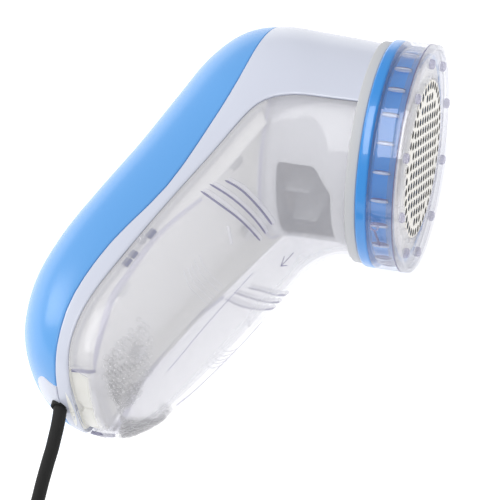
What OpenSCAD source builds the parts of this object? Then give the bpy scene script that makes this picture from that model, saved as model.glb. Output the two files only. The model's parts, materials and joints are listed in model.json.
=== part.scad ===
// Corded fabric shaver: a shaving head on a bent handle with a clear lint container.
// It is drawn with the head's axis along X, the handle running down towards -Y and Z
// across the width; lay() then rests it on its side on the plane Z = 0.

/* [Head] */
// Outer diameter of the height ring
ring_d = 72; // [71:0.5:74]
// Diameter of the perforated shaving foil
foil_d = 63; // [62:0.5:63.2]
// Diameter of one shaving hole in the foil
foil_hole_d = 2.2; // [1.6:0.1:2.6]
// Number of ribs inside the height ring
ring_ribs = 24; // [12:2:36]
// Number of raised pips on the front of the guard
guard_pips = 10; // [6:1:12]
// Number of cutting blades
blade_count = 3; // [2:1:6]

/* [Shells] */
// Wall thickness of the moulded shells
wall = 2; // [1.8:0.1:2.2]
// Gap between the lint container and its neighbours
container_gap = 0.4; // [0.3:0.05:0.5]

/* [Drive] */
// Diameter of the motor can
motor_d = 28; // [24:0.5:28]
// Length of the motor can
motor_len = 25; // [22:1:25]
// Diameter of the fan
fan_d = 46; // [40:1:50]
// Number of fan vanes
fan_vanes = 8; // [5:1:10]

/* [Cord] */
// Diameter of the mains cord
cord_d = 4.2; // [4:0.1:4.4]

/* [Hidden] */
$fn = 96;

// Where the object comes to rest: it leans on the rim of the head and the side of the handle.
lean = [2.24, -4.2, 0];
lift = [51.6, 36.6, 36.85];

module lay() translate(lift) rotate(lean) children();

// Stations of the outer skin, from the barrel's mouth round to the tip of the handle:
// belly x, y, spine x, y, half width, roundness (2 is an ellipse).
stations = [
    [-16, -34, -16, 34, 34, 2], [-18, -34, -24, 34.8, 34, 2],
    [-20.5, -34.6, -38, 35.8, 34, 2], [-23, -36, -52, 36, 34, 2.05],
    [-25.5, -38.5, -65, 31.5, 33.5, 2.1], [-28, -42, -74.5, 19.5, 32.5, 2.15],
    [-30.5, -48, -81.5, 1.5, 31, 2.2], [-35, -57, -88.5, -18, 30, 2.25],
    [-40, -68, -96, -36.5, 29.3, 2.3], [-46, -80, -102.5, -54, 28.7, 2.3],
    [-52, -91, -106, -71, 27.8, 2.3], [-58, -99.8, -105, -86, 26.2, 2.3],
    [-64.5, -105.5, -101, -96.5, 23, 2.3], [-71, -108.5, -95.5, -103, 17.8, 2.3],
    [-77, -109.5, -89, -107.5, 10.5, 2.2], [-82.8, -109.3, -83, -109.2, 0, 2]];
last = len(stations) - 1;
skin_end = last - 0.04;
skin_rings = 37;
skin_sides = 40;

// Joint lines in side view: back cover to housing, and housing to lint container.
cover_line = [[-51, 42], [-52, 30], [-53.5, 16], [-56, -2], [-60.5, -19], [-68, -43],
    [-79.5, -65], [-86, -84], [-87.5, -100], [-87.5, -114]];
container_line = [[-10, -5.5], [-26, -5.5], [-37, -6], [-45.5, -9], [-51, -16], [-58.5, -32],
    [-66.8, -50], [-74.5, -68.5], [-80.5, -84], [-83, -96], [-83.2, -104], [-82, -114]];
line_steps = 3;

// Head, along the axis
barrel_front = -16;
collar_front = -12.9;
neck_r = 30.2;
drum_r = 33;
chamber_r = 30;
chamber_back = -44;
plate_t = 2;
foil_x = -2.6;
foil_t = 0.4;
fit = 0.05;

// Drive, along the axis
shaft_r = 1.15;
shaft_front = -8;
can_front = -48;
can_back = can_front - motor_len;
shaft_back = can_back - 3.5;
fan_back = -39;
fan_front = -27;
hub_r = 2.6;
carrier_back = -14;
carrier_front = -6.5;
blade_front = -3.1;

// Handle, as a direction and a frame whose x runs along the handle and y to the belly
handle_turn = -112;
board_at = [-89.5, -60, 0];
board = [38, 1.6, 26];
switch_at = [-92.2, -27.2, 0];
switch_turn = -112;
cover_screw_at = [[-54.5, -23, 150, 19], [-76.8, -74, 160, 18]];
clamp_at = [-81.4, -80, 0];
clamp_turn = -21;

// Cord: exit point in the drawn frame, then the routes on the ground in the laid frame
exit_at = [-88, -107.4, 0];
cord_r = cord_d / 2;
cord_route = [[-35.9, -70.8, 26.2], [-35.3, -74.3, 25.9], [-35, -77.7, 25], [-35, -80.9, 23.6],
    [-35.2, -83.8, 21.6], [-35.7, -86.4, 19.2], [-36.2, -88.7, 16.6], [-36.7, -90.9, 13.9],
    [-37.1, -93.2, 11.3], [-37.4, -95.8, 9], [-37.6, -98.7, 7], [-37.8, -102.3, 5.3],
    [-38, -106.1, 4], [-38.1, -110.5, 3.1], [-38.1, -115.5, 2.6], [-38.1, -120.5, 2.3],
    [-38.1, -125.5, 2.2], [-38.1, -129, 2.1]];
coil_mean_r = 25.2;
coil_at = [-6.6, -144, 0];
coil_rows = 4;
coil_layers = 2;
coil_half = coil_rows * cord_d / 2;
coil_h = coil_layers * cord_d;
tail_route = [[5, -175.5, 6.3], [9, -175.4, 6.4], [13, -175.2, 6.6], [18, -175, 6.9]];
plug_at = [18, -175, 6.9];
plug_neck = 12;
plug_len = 32;
plug_r = 6.85;
pin_pitch = 19;
pin_r = 2;
pin_len = 19;

// ---------------------------------------------------------------- functions

function catmull(a, b, c, d, f) = 0.5 * (2 * b + (c - a) * f
    + (2 * a - 5 * b + 4 * c - d) * f * f + (3 * b - 3 * c + d - a) * f * f * f);

// Point at t along a smooth curve through a list of points; whole numbers are the points.
function along(list, t) =
    let (n = len(list), i = min(floor(t), n - 2))
    catmull(list[max(i - 1, 0)], list[i], list[i + 1], list[min(i + 2, n - 1)], t - i);

function smooth(list, steps) =
    [for (k = [0 : (len(list) - 1) * steps]) along(list, k / steps)];

function centre(ring) = [for (p = ring) 1] * ring / len(ring);

function signed_power(v, e) = sign(v) * pow(abs(v), e);

function unit(v) = v / norm(v);

// Point of the outer skin: t counts stations, angle runs from the spine round the side.
function skin(t, angle) =
    let (s = along(stations, t), e = 2 / s[5], side = signed_power(cos(angle), e))
    [(s[0] + s[2] + (s[2] - s[0]) * side) / 2, (s[1] + s[3] + (s[3] - s[1]) * side) / 2,
        max(s[4], 0) * signed_power(sin(angle), e)];

function outward(t, angle) =
    unit(cross(skin(min(t + 0.04, last), angle) - skin(max(t - 0.04, 0), angle),
        skin(t, angle + 4) - skin(t, angle - 4)));

function skin_ring(t, depth) =
    [for (k = [0 : skin_sides - 1])
        let (a = 360 * k / skin_sides) skin(t, a) - depth * outward(t, a)];

// Rings of points round a route, each square to it.
function tube_ring(route, k, r, sides) =
    let (n = len(route), dir = unit(route[min(k + 1, n - 1)] - route[max(k - 1, 0)]),
        side = unit(cross(dir, [0.03, 0.02, 1])), up = cross(side, dir))
    [for (j = [0 : sides - 1])
        let (a = 360 * j / sides) route[k] + r * (cos(a) * side + sin(a) * up)];

// ---------------------------------------------------------------- building blocks

// A closed solid through rings of equally many points, its ends closed to their centres.
module loft(rings) {
    n = len(rings[0]);
    m = len(rings);
    ends = [centre(rings[0]), centre(rings[m - 1])];
    points = concat([for (r = rings) each r], ends);
    faces = concat(
        [for (i = [0 : m - 2], j = [0 : n - 1])
            let (a = i * n + j, b = i * n + (j + 1) % n) each [[a, b, b + n], [a, b + n, a + n]]],
        [for (j = [0 : n - 1]) [(j + 1) % n, j, m * n]],
        [for (j = [0 : n - 1]) [(m - 1) * n + j, (m - 1) * n + (j + 1) % n, m * n + 1]]);
    polyhedron(points, faces);
}

module skin_solid(depth, lead = 0) {
    rings = [for (k = [0 : skin_rings]) skin_ring(skin_end * k / skin_rings, depth)];
    front = [for (p = rings[0]) p + [lead, 0, 0]];
    loft(lead > 0 ? concat([front], rings) : rings);
}

module skin_shell() {
    difference() {
        skin_solid(0);
        skin_solid(wall, 4);
    }
}

// Everything on one side of a line in side view.
module side_of(points) translate([0, 0, -60]) linear_extrude(120) polygon(points);

module cover_side() side_of(concat(smooth(cover_line, line_steps), [[-150, -114], [-150, 42]]));

module container_side(gap = 0)
    translate([gap, -gap / 2, 0])
        side_of(concat(smooth(container_line, line_steps), [[40, -114], [40, -5.5]]));

// Hands a group over as one mesh.
module as_mesh() resize([0, 0, 0]) children();

// Ring and rod about the head's axis, between two places on it.
module rod(r, x0, x1) translate([x0, 0, 0]) rotate([0, 90, 0]) cylinder(r = r, h = x1 - x0);

module ring(r_in, r_out, x0, x1) {
    difference() {
        rod(r_out, x0, x1);
        rod(r_in, x0 - 1, x1 + 1);
    }
}

module around(n, start = 0) for (k = [0 : n - 1]) rotate([start + 360 * k / n, 0, 0]) children();

module in_handle(at) translate(at) rotate([0, 0, handle_turn]) children();

module at_switch() translate(switch_at) rotate([0, 0, switch_turn]) children();

// A screw along +X with its head at the origin.
module screw(r, length) {
    rod(r, 0, length);
    rod(r * 2.1, -1.6, 0);
}

// The notch at the tip of the cover, filled by the housing's cord boss.
module boss_notch() translate([-96.5, -120, -8]) cube([16, 22, 16]);

module cover_screw_places()
    for (s = cover_screw_at, side = [-1, 1])
        translate([s[0], s[1], side * s[3]]) rotate([0, 0, s[2]]) children();

module chamber_space() rod(chamber_r + 0.15, chamber_back - plate_t, 0);

module barrel_mouth() translate([barrel_front - 0.01, -50, -50]) cube([20, 100, 100]);

// ---------------------------------------------------------------- shells

module back_cover() color("cornflowerblue") lay() as_mesh() {
    difference() {
        intersection() {
            skin_shell();
            cover_side();
        }
        boss_notch();
        at_switch() translate([-11.1, -6, -6.6]) cube([22.2, 12, 13.2]);
    }
    difference() {
        intersection() {
            skin_solid(wall / 2);
            cover_side();
            cover_screw_places() rod(3.4, 3, 60);
        }
        cover_screw_places() rod(1.3, -1, 14);
    }
}

module main_housing() color("lavender") lay() as_mesh() {
    difference() {
        union() {
            difference() {
                skin_shell();
                cover_side();
                container_side();
            }
            intersection() {
                skin_shell();
                boss_notch();
            }
            intersection() {
                skin_solid(wall / 2);
                difference() {
                    translate([-2, 0.7, 0]) container_side();
                    container_side();
                }
            }
            intersection() {
                rod(motor_d / 2 + 2.2, -52.3, chamber_back);
                translate([-1, 0.35, 0]) container_side();
            }
            intersection() {
                skin_solid(wall / 2);
                difference() {
                    translate(exit_at + [0, 2, 0]) rotate([-90, 0, 0]) cylinder(r = 5.4, h = 11);
                    container_side();
                }
            }
        }
        chamber_space();
        rod(motor_d / 2 + 0.6, -80, chamber_back);
        barrel_mouth();
        translate(exit_at - [0, 3, 0]) rotate([-90, 0, 0]) cylinder(r = 3.05, h = 40);
        cover_screw_places() rod(1.3, -9, 9);
        clamp_screw_places() rod(1.15, -1, 6);
    }
}

module lint_container() color("lavenderblush", 0.4) lay() as_mesh() {
    difference() {
        intersection() {
            skin_shell();
            container_side(container_gap);
        }
        translate([barrel_front - container_gap, -50, -50]) cube([20, 100, 100]);
        translate([-85, -120, -19]) cube([8.5, 20, 38]);
    }
    intersection() {
        skin_solid(wall / 2);
        for (k = [-3 : 3]) translate([-72.2, -112, 4.6 * k - 0.6]) cube([4, 10, 1.2]);
    }
}

module chamber_wall() color("whitesmoke") lay() {
    difference() {
        ring(chamber_r - 1.5, chamber_r, chamber_back, barrel_front);
        translate([0, -15, 0]) rotate([90, 0, 0]) linear_extrude(30)
            polygon([[-40, -20], [-22.5, -20], [-22.5, 13], [-28, 20], [-40, 20]]);
    }
}

// ---------------------------------------------------------------- head

module head_collar() color("gainsboro") lay() {
    ring(neck_r - 2, 35, barrel_front, collar_front);
    ring(neck_r - 2, neck_r, collar_front, -8.4);
    around(3) intersection() {
        ring(neck_r - 1, 31.2, -9.6, -8.4);
        translate([-12, -2.5, 0]) cube([8, 5, 40]);
    }
}

module foil_ring() color("dodgerblue") lay() {
    difference() {
        union() {
            ring(neck_r + fit, drum_r, collar_front + 0.1, -2);
            ring(drum_r - 1, ring_d / 2, collar_front + 0.1, -10);
        }
        rod(31.6, -10, -7.6);
        rod(foil_d / 2 + 0.1, foil_x, 0);
        around(3, 40) translate([-14, -3.3, 29]) cube([5, 6.6, 2.7]);
    }
    ring(28.5, neck_r + 1, -4, foil_x);
}

module shaving_foil() color("silver") lay() translate([foil_x, 0, 0]) rotate([0, 90, 0])
    linear_extrude(foil_t) difference() {
        circle(d = foil_d);
        for (i = [-6 : 6], j = [-7 : 7])
            let (y = 3.9 * (i + 0.5 * (j % 2)), z = 3.38 * j)
                if (norm([y, z]) < 20.5) translate([z, y]) circle(d = foil_hole_d, $fn = 16);
        for (k = [0 : 39]) rotate(9 * k) translate([23.4, 0]) circle(d = 2.3, $fn = 16);
    }

module height_ring() color("lavenderblush", 0.35) lay() {
    ring(34.6, ring_d / 2, -9.9, -1.7);
    ring(drum_r + fit, 35, -9.9, -8.9);
    around(ring_ribs) translate([-9, -0.5, drum_r + 0.3]) cube([4.8, 1, 1.8]);
}

module spacer_guard() color("lavenderblush", 0.35) lay() {
    difference() {
        ring(25.4, ring_d / 2, -1.6, 0);
        around(16) translate([-3, 0, 25.4]) rotate([0, 90, 0]) cylinder(r = 1.7, h = 5);
    }
    ring(drum_r + 0.2, 34.5, -4, -1.5);
    around(guard_pips, 18) translate([0, 0, 31]) rotate([0, 90, 0]) {
        translate([0, 0, -0.5]) cylinder(r = 1.6, h = 1.2);
        translate([0, 0, 0.7]) cylinder(r1 = 1.6, r2 = 1, h = 0.6);
    }
}

module blade_carrier() color("white") lay() {
    difference() {
        union() {
            rod(20, -8, carrier_front);
            rod(5.4, carrier_back, carrier_front);
            ring(18.4, 20, -8.6, -7.9);
        }
        rod(hub_r + fit, -30, 0);
        around(blade_count, 60) translate([-10, -3.4, 10]) cube([6, 6.8, 5]);
        translate([-20, -0.85, 0]) cube([16, 1.7, 4]);
    }
}

module blades() color("silver") lay()
    around(blade_count) translate([carrier_front - 0.6, -0.25, 6.4])
        cube([blade_front - carrier_front + 0.6, 0.5, 13.4]);

module blade_spring() color("darkgray") lay() {
    turns = 4;
    coil_r = 3.9;
    x0 = -18.75;
    travel = 4.3;
    path = [for (k = [0 : turns * 12]) let (a = 30 * k)
        [x0 + travel * k / (turns * 12), coil_r * cos(a), coil_r * sin(a)]];
    loft([for (k = [0 : len(path) - 1]) tube_ring(path, k, 0.35, 6)]);
}

module drive_hub() color("ivory") lay() {
    difference() {
        union() {
            rod(hub_r, -20, -8.4);
            rod(5, -22, -20);
            translate([-14.5, -0.7, 0]) cube([6, 1.4, 3.8]);
        }
        rod(shaft_r, -30, 0);
    }
}

// ---------------------------------------------------------------- drive

module fan_impeller() color("gray") lay() {
    difference() {
        union() {
            rod(5, fan_back, fan_front + 3);
            rod(fan_d / 2, fan_back, fan_back + 1);
        }
        rod(shaft_r, -60, 0);
    }
    around(fan_vanes) translate([fan_back + 0.5, -0.6, 4.6]) rotate([0, 0, 14])
        cube([fan_front - fan_back - 1, 1.2, fan_d / 2 - 5]);
}

module motor_plate() color("whitesmoke") lay() {
    difference() {
        rod(chamber_r, chamber_back - plate_t, chamber_back);
        rod(3.2, -60, 0);
        around(2) translate([-60, 0, 9]) rod(1.3, 0, 40);
    }
}

module motor_screws() color("silver") lay()
    around(2) translate([chamber_back, 0, 9]) mirror([1, 0, 0]) screw(1.25, 5);

module motor_can() color("silver") lay() {
    difference() {
        rod(motor_d / 2, can_back, can_front + 2);
        rod(motor_d / 2 - 1.2, can_back - 1, can_front);
        rod(2.9, -60, 0);
        around(2) translate([-60, 0, 9]) rod(1.25, 0, 40);
    }
}

module motor_end_cap() color("dimgray") lay() {
    difference() {
        union() {
            rod(motor_d / 2 - 1.2, can_back, can_back + 2);
            rod(motor_d / 2 - 1, can_back - 1.5, can_back);
            rod(5, can_back - 3, can_back - 1);
        }
        rod(2.9, -90, 0);
    }
}

module motor_magnets() color("dimgray") lay() intersection() {
    ring(10, motor_d / 2 - 1.25, can_back + 4, can_front - 1);
    union() for (side = [0, 180]) rotate([side, 0, 0])
        translate([-90, -9, 0]) cube([60, 18, 20]);
}

module front_bush() color("goldenrod") lay() ring(shaft_r + fit, 2.9, can_front, can_front + 4.5);

module rear_bush() color("goldenrod") lay() ring(shaft_r + fit, 2.9, can_back - 2.8, can_back + 2);

module motor_shaft() color("lightgray") lay() rod(shaft_r, shaft_back, shaft_front);

module armature() color("peru") lay() difference() {
    union() {
        rod(4.2, can_back + 9, can_back + 23);
        intersection() {
            rod(9.3, can_back + 10, can_back + 22);
            around(3) translate([can_back, -2.6, 0]) cube([30, 5.2, 12]);
        }
    }
    rod(shaft_r, -90, 0);
}

module commutator() color("chocolate") lay() ring(shaft_r, 3.4, can_back + 3, can_back + 8.5);

module motor_brushes() color("black") lay()
    around(2, 90) translate([can_back + 4, -1.2, 3.7]) cube([3, 2.4, 5]);

// ---------------------------------------------------------------- electrics

module circuit_board() color("darkgreen") lay() in_handle(board_at) translate(-board / 2)
    cube(board);

module board_part(x, z) in_handle(board_at) translate([x, board[1] / 2, z]) children();

module rectifier_diodes() color("black") lay()
    for (k = [0 : 3]) board_part(-14, -7.5 + 5 * k) translate([0, 1.4, 0]) rod(1.4, -2.6, 2.6);

module smoothing_capacitor() color("navy") lay() board_part(-2, 0) rotate([-90, 0, 0])
    cylinder(r = 4.5, h = 9);

module dropper_resistor() color("tan") lay() board_part(11, 6) translate([0, 2.6, 0])
    rod(2.6, -7, 7);

module fuse() color("ghostwhite") lay() board_part(11, -6) translate([0, 2.6, 0]) rod(2.6, -8, 8);

module lead(points, r) {
    path = smooth(points, 3);
    loft([for (k = [0 : len(path) - 1]) tube_ring(path, k, r, 6)]);
}

module motor_leads() color("firebrick") lay() for (side = [-1, 1])
    lead([[-77.4, -5, 9 * side], [-79.5, -12, 10 * side], [-80, -25, 10 * side],
        [-81.2, -36, 9 * side], [-82.3, -41.4, 8 * side]], 0.7);

module mains_leads() color("saddlebrown") lay() for (side = [-1, 1])
    lead([[-88.2, -84.2, 1.2 * side], [-90.5, -83.3, 4 * side], [-93.5, -81, 8.5 * side],
        [-95.3, -78.4, 10.8 * side], [-94.2, -76.5, 11 * side]], 0.7);

module switch_leads() color("dimgray") lay() for (side = [-1, 1])
    lead([[-81.4, -44.2, 5 * side], [-79.6, -40, 4.6 * side], [-79, -36, 3.4 * side],
        [-80.2, -32.8, 2.4 * side]], 0.7);

module switch_body() color("black") lay() at_switch() {
    translate([-9, 3.3, -5]) cube([18, 6, 10]);
    for (x = [-6, 0, 6]) translate([x - 0.4, 9, -1.2]) cube([0.8, 3, 2.4]);
}

module switch_bezel() color("cornflowerblue") lay() at_switch() {
    difference() {
        translate([-11, 0.5, -6.5]) cube([22, 2.6, 13]);
        translate([-9, -1, -5]) cube([18, 2.9, 10]);
        translate([-5.5, 0, -1.8]) cube([11, 5, 3.6]);
    }
}

module switch_knob() color("aliceblue") lay() at_switch() {
    translate([-8.2, 0.6, -4.6]) cube([12, 1, 9.2]);
    for (x = [-7 : 2 : 3]) translate([x, 0.1, -4]) cube([0.8, 0.6, 8]);
    translate([-4.2, 1.5, -1.5]) cube([4, 1.7, 3]);
}

module cover_screws() color("silver") lay() cover_screw_places()
    translate([-1.2, 0, 0]) screw(1.25, 13);

module at_clamp() translate(clamp_at) rotate([0, 0, clamp_turn]) children();

module clamp_screw_places() at_clamp() for (side = [-1, 1]) translate([0, 0, 5.4 * side]) children();

module cord_clamp() color("white") lay() difference() {
    at_clamp() translate([-3, -4, -8]) cube([3, 8, 16]);
    clamp_screw_places() rod(1.1, -5, 5);
}

module clamp_screws() color("silver") lay() clamp_screw_places()
    translate([-3, 0, 0]) screw(1.05, 4.8);

module cord_grommet() color("black") lay() translate(exit_at) rotate([-90, 0, 0]) {
    cylinder(r = 3, h = 9);
    translate([0, 0, 9]) cylinder(r1 = 3, r2 = 2.3, h = 13);
}

// ---------------------------------------------------------------- cord

module tube(points) loft([for (k = [0 : len(points) - 1]) tube_ring(points, k, cord_r, 8)]);

module power_cord() color("black") tube(cord_route);

module cord_coil() color("black") translate(coil_at)
    rotate_extrude() translate([coil_mean_r - coil_half, 0]) square([2 * coil_half, coil_h]);

module cord_tail() color("black") tube(tail_route);

module cord_tie() color("dimgray") translate(coil_at + [0, coil_mean_r, 0]) difference() {
    translate([-3, -coil_half - 1.4, 0]) cube([6, 2 * coil_half + 2.8, coil_h + 1]);
    translate([-4, -coil_half - 0.4, -1]) cube([8, 2 * coil_half + 0.8, coil_h + 1.1]);
}

module plug_body() color("black") translate(plug_at) {
    rotate([0, 90, 0]) cylinder(r1 = cord_r + 0.5, r2 = 4.4, h = plug_neck);
    translate([plug_neck, 0, 0]) rotate([0, 90, 0]) hull() {
        cylinder(r = 5.6, h = 1, $fn = 32);
        for (side = [-1, 1])
            translate([0, 6.2 * side, plug_len - 8]) cylinder(r = plug_r, h = 8, $fn = 32);
    }
}

module plug_pins() color("silver")
    for (side = [-1, 1])
        translate(plug_at + [plug_neck + plug_len, side * pin_pitch / 2, 0]) rotate([0, 90, 0]) {
            cylinder(r = pin_r, h = pin_len - 1);
            translate([0, 0, pin_len - 1]) cylinder(r1 = pin_r, r2 = pin_r - 0.6, h = 1);
        }

back_cover();
main_housing();
lint_container();
chamber_wall();
head_collar();
foil_ring();
shaving_foil();
height_ring();
spacer_guard();
blade_carrier();
blades();
blade_spring();
drive_hub();
fan_impeller();
motor_plate();
motor_screws();
motor_can();
motor_end_cap();
motor_magnets();
front_bush();
rear_bush();
motor_shaft();
armature();
commutator();
motor_brushes();
circuit_board();
rectifier_diodes();
smoothing_capacitor();
dropper_resistor();
fuse();
motor_leads();
mains_leads();
switch_leads();
switch_body();
switch_bezel();
switch_knob();
cover_screws();
cord_clamp();
clamp_screws();
cord_grommet();
power_cord();
cord_coil();
cord_tail();
cord_tie();
plug_body();
plug_pins();
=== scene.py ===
"""Looks of a corded fabric shaver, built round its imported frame.

Every piece is worked out in the frame in which the shaver is drawn (millimetres, the head's
axis along X, the handle running down towards -Y, Z across the width) and is then laid on its
side by laid(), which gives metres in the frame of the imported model.
"""

import json
import logging
import math
from dataclasses import dataclass, field
from enum import Enum

import bmesh
import bpy
import numpy as np
from mathutils import Matrix, Vector
from mathutils.geometry import delaunay_2d_cdt

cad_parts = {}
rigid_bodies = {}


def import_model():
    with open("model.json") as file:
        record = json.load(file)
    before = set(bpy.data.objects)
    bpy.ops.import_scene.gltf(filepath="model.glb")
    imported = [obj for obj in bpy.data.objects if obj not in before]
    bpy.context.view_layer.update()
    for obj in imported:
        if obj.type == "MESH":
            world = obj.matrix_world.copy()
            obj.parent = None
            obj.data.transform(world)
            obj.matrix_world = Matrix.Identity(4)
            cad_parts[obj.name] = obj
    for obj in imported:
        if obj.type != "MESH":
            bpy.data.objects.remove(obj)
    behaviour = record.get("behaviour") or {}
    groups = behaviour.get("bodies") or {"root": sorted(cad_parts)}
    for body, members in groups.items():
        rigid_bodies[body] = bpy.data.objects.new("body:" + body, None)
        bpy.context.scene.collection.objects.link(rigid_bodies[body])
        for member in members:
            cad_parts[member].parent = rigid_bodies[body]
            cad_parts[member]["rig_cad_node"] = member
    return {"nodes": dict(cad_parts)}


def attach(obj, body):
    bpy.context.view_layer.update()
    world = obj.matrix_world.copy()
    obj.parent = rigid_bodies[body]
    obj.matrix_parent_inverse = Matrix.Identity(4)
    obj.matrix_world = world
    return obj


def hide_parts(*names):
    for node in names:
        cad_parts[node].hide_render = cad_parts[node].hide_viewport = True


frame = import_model()

LOG = logging.getLogger("shaver")
MM = 0.001
LEAN = (2.24, -4.2)
LIFT = np.array([51.6, 36.6, 36.85])
RING_MARK = 74.0
LINE_STEPS = 3
CHORD_SAMPLES = 201


# ------------------------------------------------------------------ frame and mesh tools


def lean_matrix() -> np.ndarray:
    """Turn that lays the drawn shaver on its side: about X, then about Y.

    Returns:
        A 3 by 3 rotation.
    """
    b = math.radians(LEAN[1])
    about_y = np.array([[math.cos(b), 0, math.sin(b)], [0, 1, 0], [-math.sin(b), 0, math.cos(b)]])
    return about_y @ turn_x(LEAN[0])


def laid(points: np.ndarray) -> np.ndarray:
    """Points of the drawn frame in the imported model's frame.

    Args:
        points: Points in mm, with x, y and z on the last axis.

    Returns:
        The same points turned by lean_matrix, lifted onto the ground, in metres.
    """
    return (np.asarray(points, float) @ lean_matrix().T + LIFT) * MM


@dataclass
class Form:
    """Points in mm with the faces between them."""

    points: np.ndarray
    faces: list[list[int]]

    def plus(self, *others: "Form") -> "Form":
        """This form and the others as one, faces renumbered by the points before them."""
        points = [self.points]
        faces = list(self.faces)
        count = len(self.points)
        for other in others:
            points.append(other.points)
            faces.extend((np.array(f) + count).tolist() for f in other.faces)
            count += len(other.points)
        return Form(np.concatenate(points), faces)

    def mapped(self, change: np.ndarray, shift: tuple[float, float, float] = (0, 0, 0)) -> "Form":
        """The form with every point multiplied by a matrix and then moved."""
        return Form(self.points @ np.asarray(change, float).T + np.array(shift), self.faces)

    def around(self, count: int, start: float = 0.0) -> "Form":
        """Copies of the form at equal steps about the X axis.

        Args:
            count: How many copies.
            start: Angle of the first one, in degrees.

        Returns:
            All copies as one form.
        """
        return joined([self.mapped(turn_x(start + 360 * k / count)) for k in range(count)])

    def mirrored(self) -> "Form":
        """This form's mirror image across the width, its faces turned round."""
        return Form(self.points * [1, 1, -1], [f[::-1] for f in self.faces])


def joined(forms: list[Form]) -> Form:
    """All the forms as one."""
    return forms[0].plus(*forms[1:])


def turn_x(degrees: float) -> np.ndarray:
    """Rotation about X by an angle in degrees."""
    a = math.radians(degrees)
    return np.array([[1, 0, 0], [0, math.cos(a), -math.sin(a)], [0, math.sin(a), math.cos(a)]])


def turn_z(degrees: float) -> np.ndarray:
    """Rotation about Z by an angle in degrees."""
    a = math.radians(degrees)
    return np.array([[math.cos(a), -math.sin(a), 0], [math.sin(a), math.cos(a), 0], [0, 0, 1]])


def grid_form(points: np.ndarray, loop_rows: bool = False, loop_columns: bool = False) -> Form:
    """Quads over a grid of points, each joining a point to its next row and next column.

    Args:
        points: Rows by columns by 3.
        loop_rows: Whether the last row joins the first.
        loop_columns: Whether the last column joins the first.

    Returns:
        The grid as a form.
    """
    rows, columns = points.shape[:2]
    number = np.arange(rows * columns).reshape(rows, columns)
    if loop_rows:
        number = np.concatenate([number, number[:1]])
    if loop_columns:
        number = np.concatenate([number, number[:, :1]], axis=1)
    quads = np.stack([number[:-1, :-1], number[1:, :-1], number[1:, 1:], number[:-1, 1:]], -1)
    return Form(points.reshape(-1, 3), quads.reshape(-1, 4).tolist())


def capped(form: Form, rows: int, columns: int) -> Form:
    """A grid whose columns loop, with its first and last rows closed by one face each."""
    first = list(range(columns))
    last = list(range((rows - 1) * columns, rows * columns))
    return Form(form.points, form.faces + [first[::-1], last])


def signed_power(value: np.ndarray, power: np.ndarray | float) -> np.ndarray:
    """|value| to a power, with the sign of value."""
    return np.sign(value) * np.abs(value) ** power


def along(knots: np.ndarray, t: np.ndarray) -> np.ndarray:
    """Catmull-Rom curve through knots; whole values of t are the knots themselves.

    Args:
        knots: Points, one per row.
        t: Places along the curve, from 0 to the last knot's number.

    Returns:
        A point for each t.
    """
    n = len(knots)
    t = np.asarray(t, float)
    i = np.clip(np.floor(t).astype(int), 0, n - 2)
    f = (t - i)[..., None]
    a, b = knots[np.maximum(i - 1, 0)], knots[i]
    c, d = knots[i + 1], knots[np.minimum(i + 2, n - 1)]
    return 0.5 * (2 * b + (c - a) * f + (2 * a - 5 * b + 4 * c - d) * f**2
                  + (3 * b - 3 * c + d - a) * f**3)


def smooth_line(knots: list, steps: int) -> np.ndarray:
    """A curve through knots, in steps equal parts between neighbours."""
    knots = np.array(knots, float)
    return along(knots, np.linspace(0, len(knots) - 1, (len(knots) - 1) * steps + 1))


def rounded_loop(corners: list, radius: float, steps: int = 3) -> np.ndarray:
    """A closed outline with each corner replaced by a short curve.

    The curve is a quadratic Bezier from a point radius before the corner to one radius after
    it, with the corner as its middle control point.

    Args:
        corners: Corner points in the plane.
        radius: Length cut from each side, at most 0.45 of the side.
        steps: Parts of each curve.

    Returns:
        The outline's points.
    """
    p = np.array(corners, float)
    before, after = np.roll(p, 1, 0) - p, np.roll(p, -1, 0) - p
    cut_b = np.minimum(radius, 0.45 * np.linalg.norm(before, axis=1))[:, None]
    cut_a = np.minimum(radius, 0.45 * np.linalg.norm(after, axis=1))[:, None]
    start = p + before / np.linalg.norm(before, axis=1)[:, None] * cut_b
    end = p + after / np.linalg.norm(after, axis=1)[:, None] * cut_a
    f = np.linspace(0, 1, steps + 1)[None, :, None]
    curve = start[:, None] * (1 - f) ** 2 + 2 * p[:, None] * f * (1 - f) + end[:, None] * f**2
    return curve.reshape(-1, 2)


def lathe(outline: np.ndarray, sides: int = 160) -> Form:
    """A closed outline of (place, radius) carried once round the X axis."""
    angle = np.linspace(0, 2 * np.pi, sides, endpoint=False)[:, None]
    x = np.broadcast_to(outline[:, 0], (sides, len(outline)))
    points = np.stack([x, outline[:, 1] * np.cos(angle), outline[:, 1] * np.sin(angle)], -1)
    return grid_form(points, loop_rows=True, loop_columns=True)


def turned(corners: list, radius: float = 0.25, sides: int = 160) -> Form:
    """A ring turned from (place, radius) corners, its edges rounded by rounded_loop."""
    return lathe(rounded_loop(corners, radius), sides)


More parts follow.
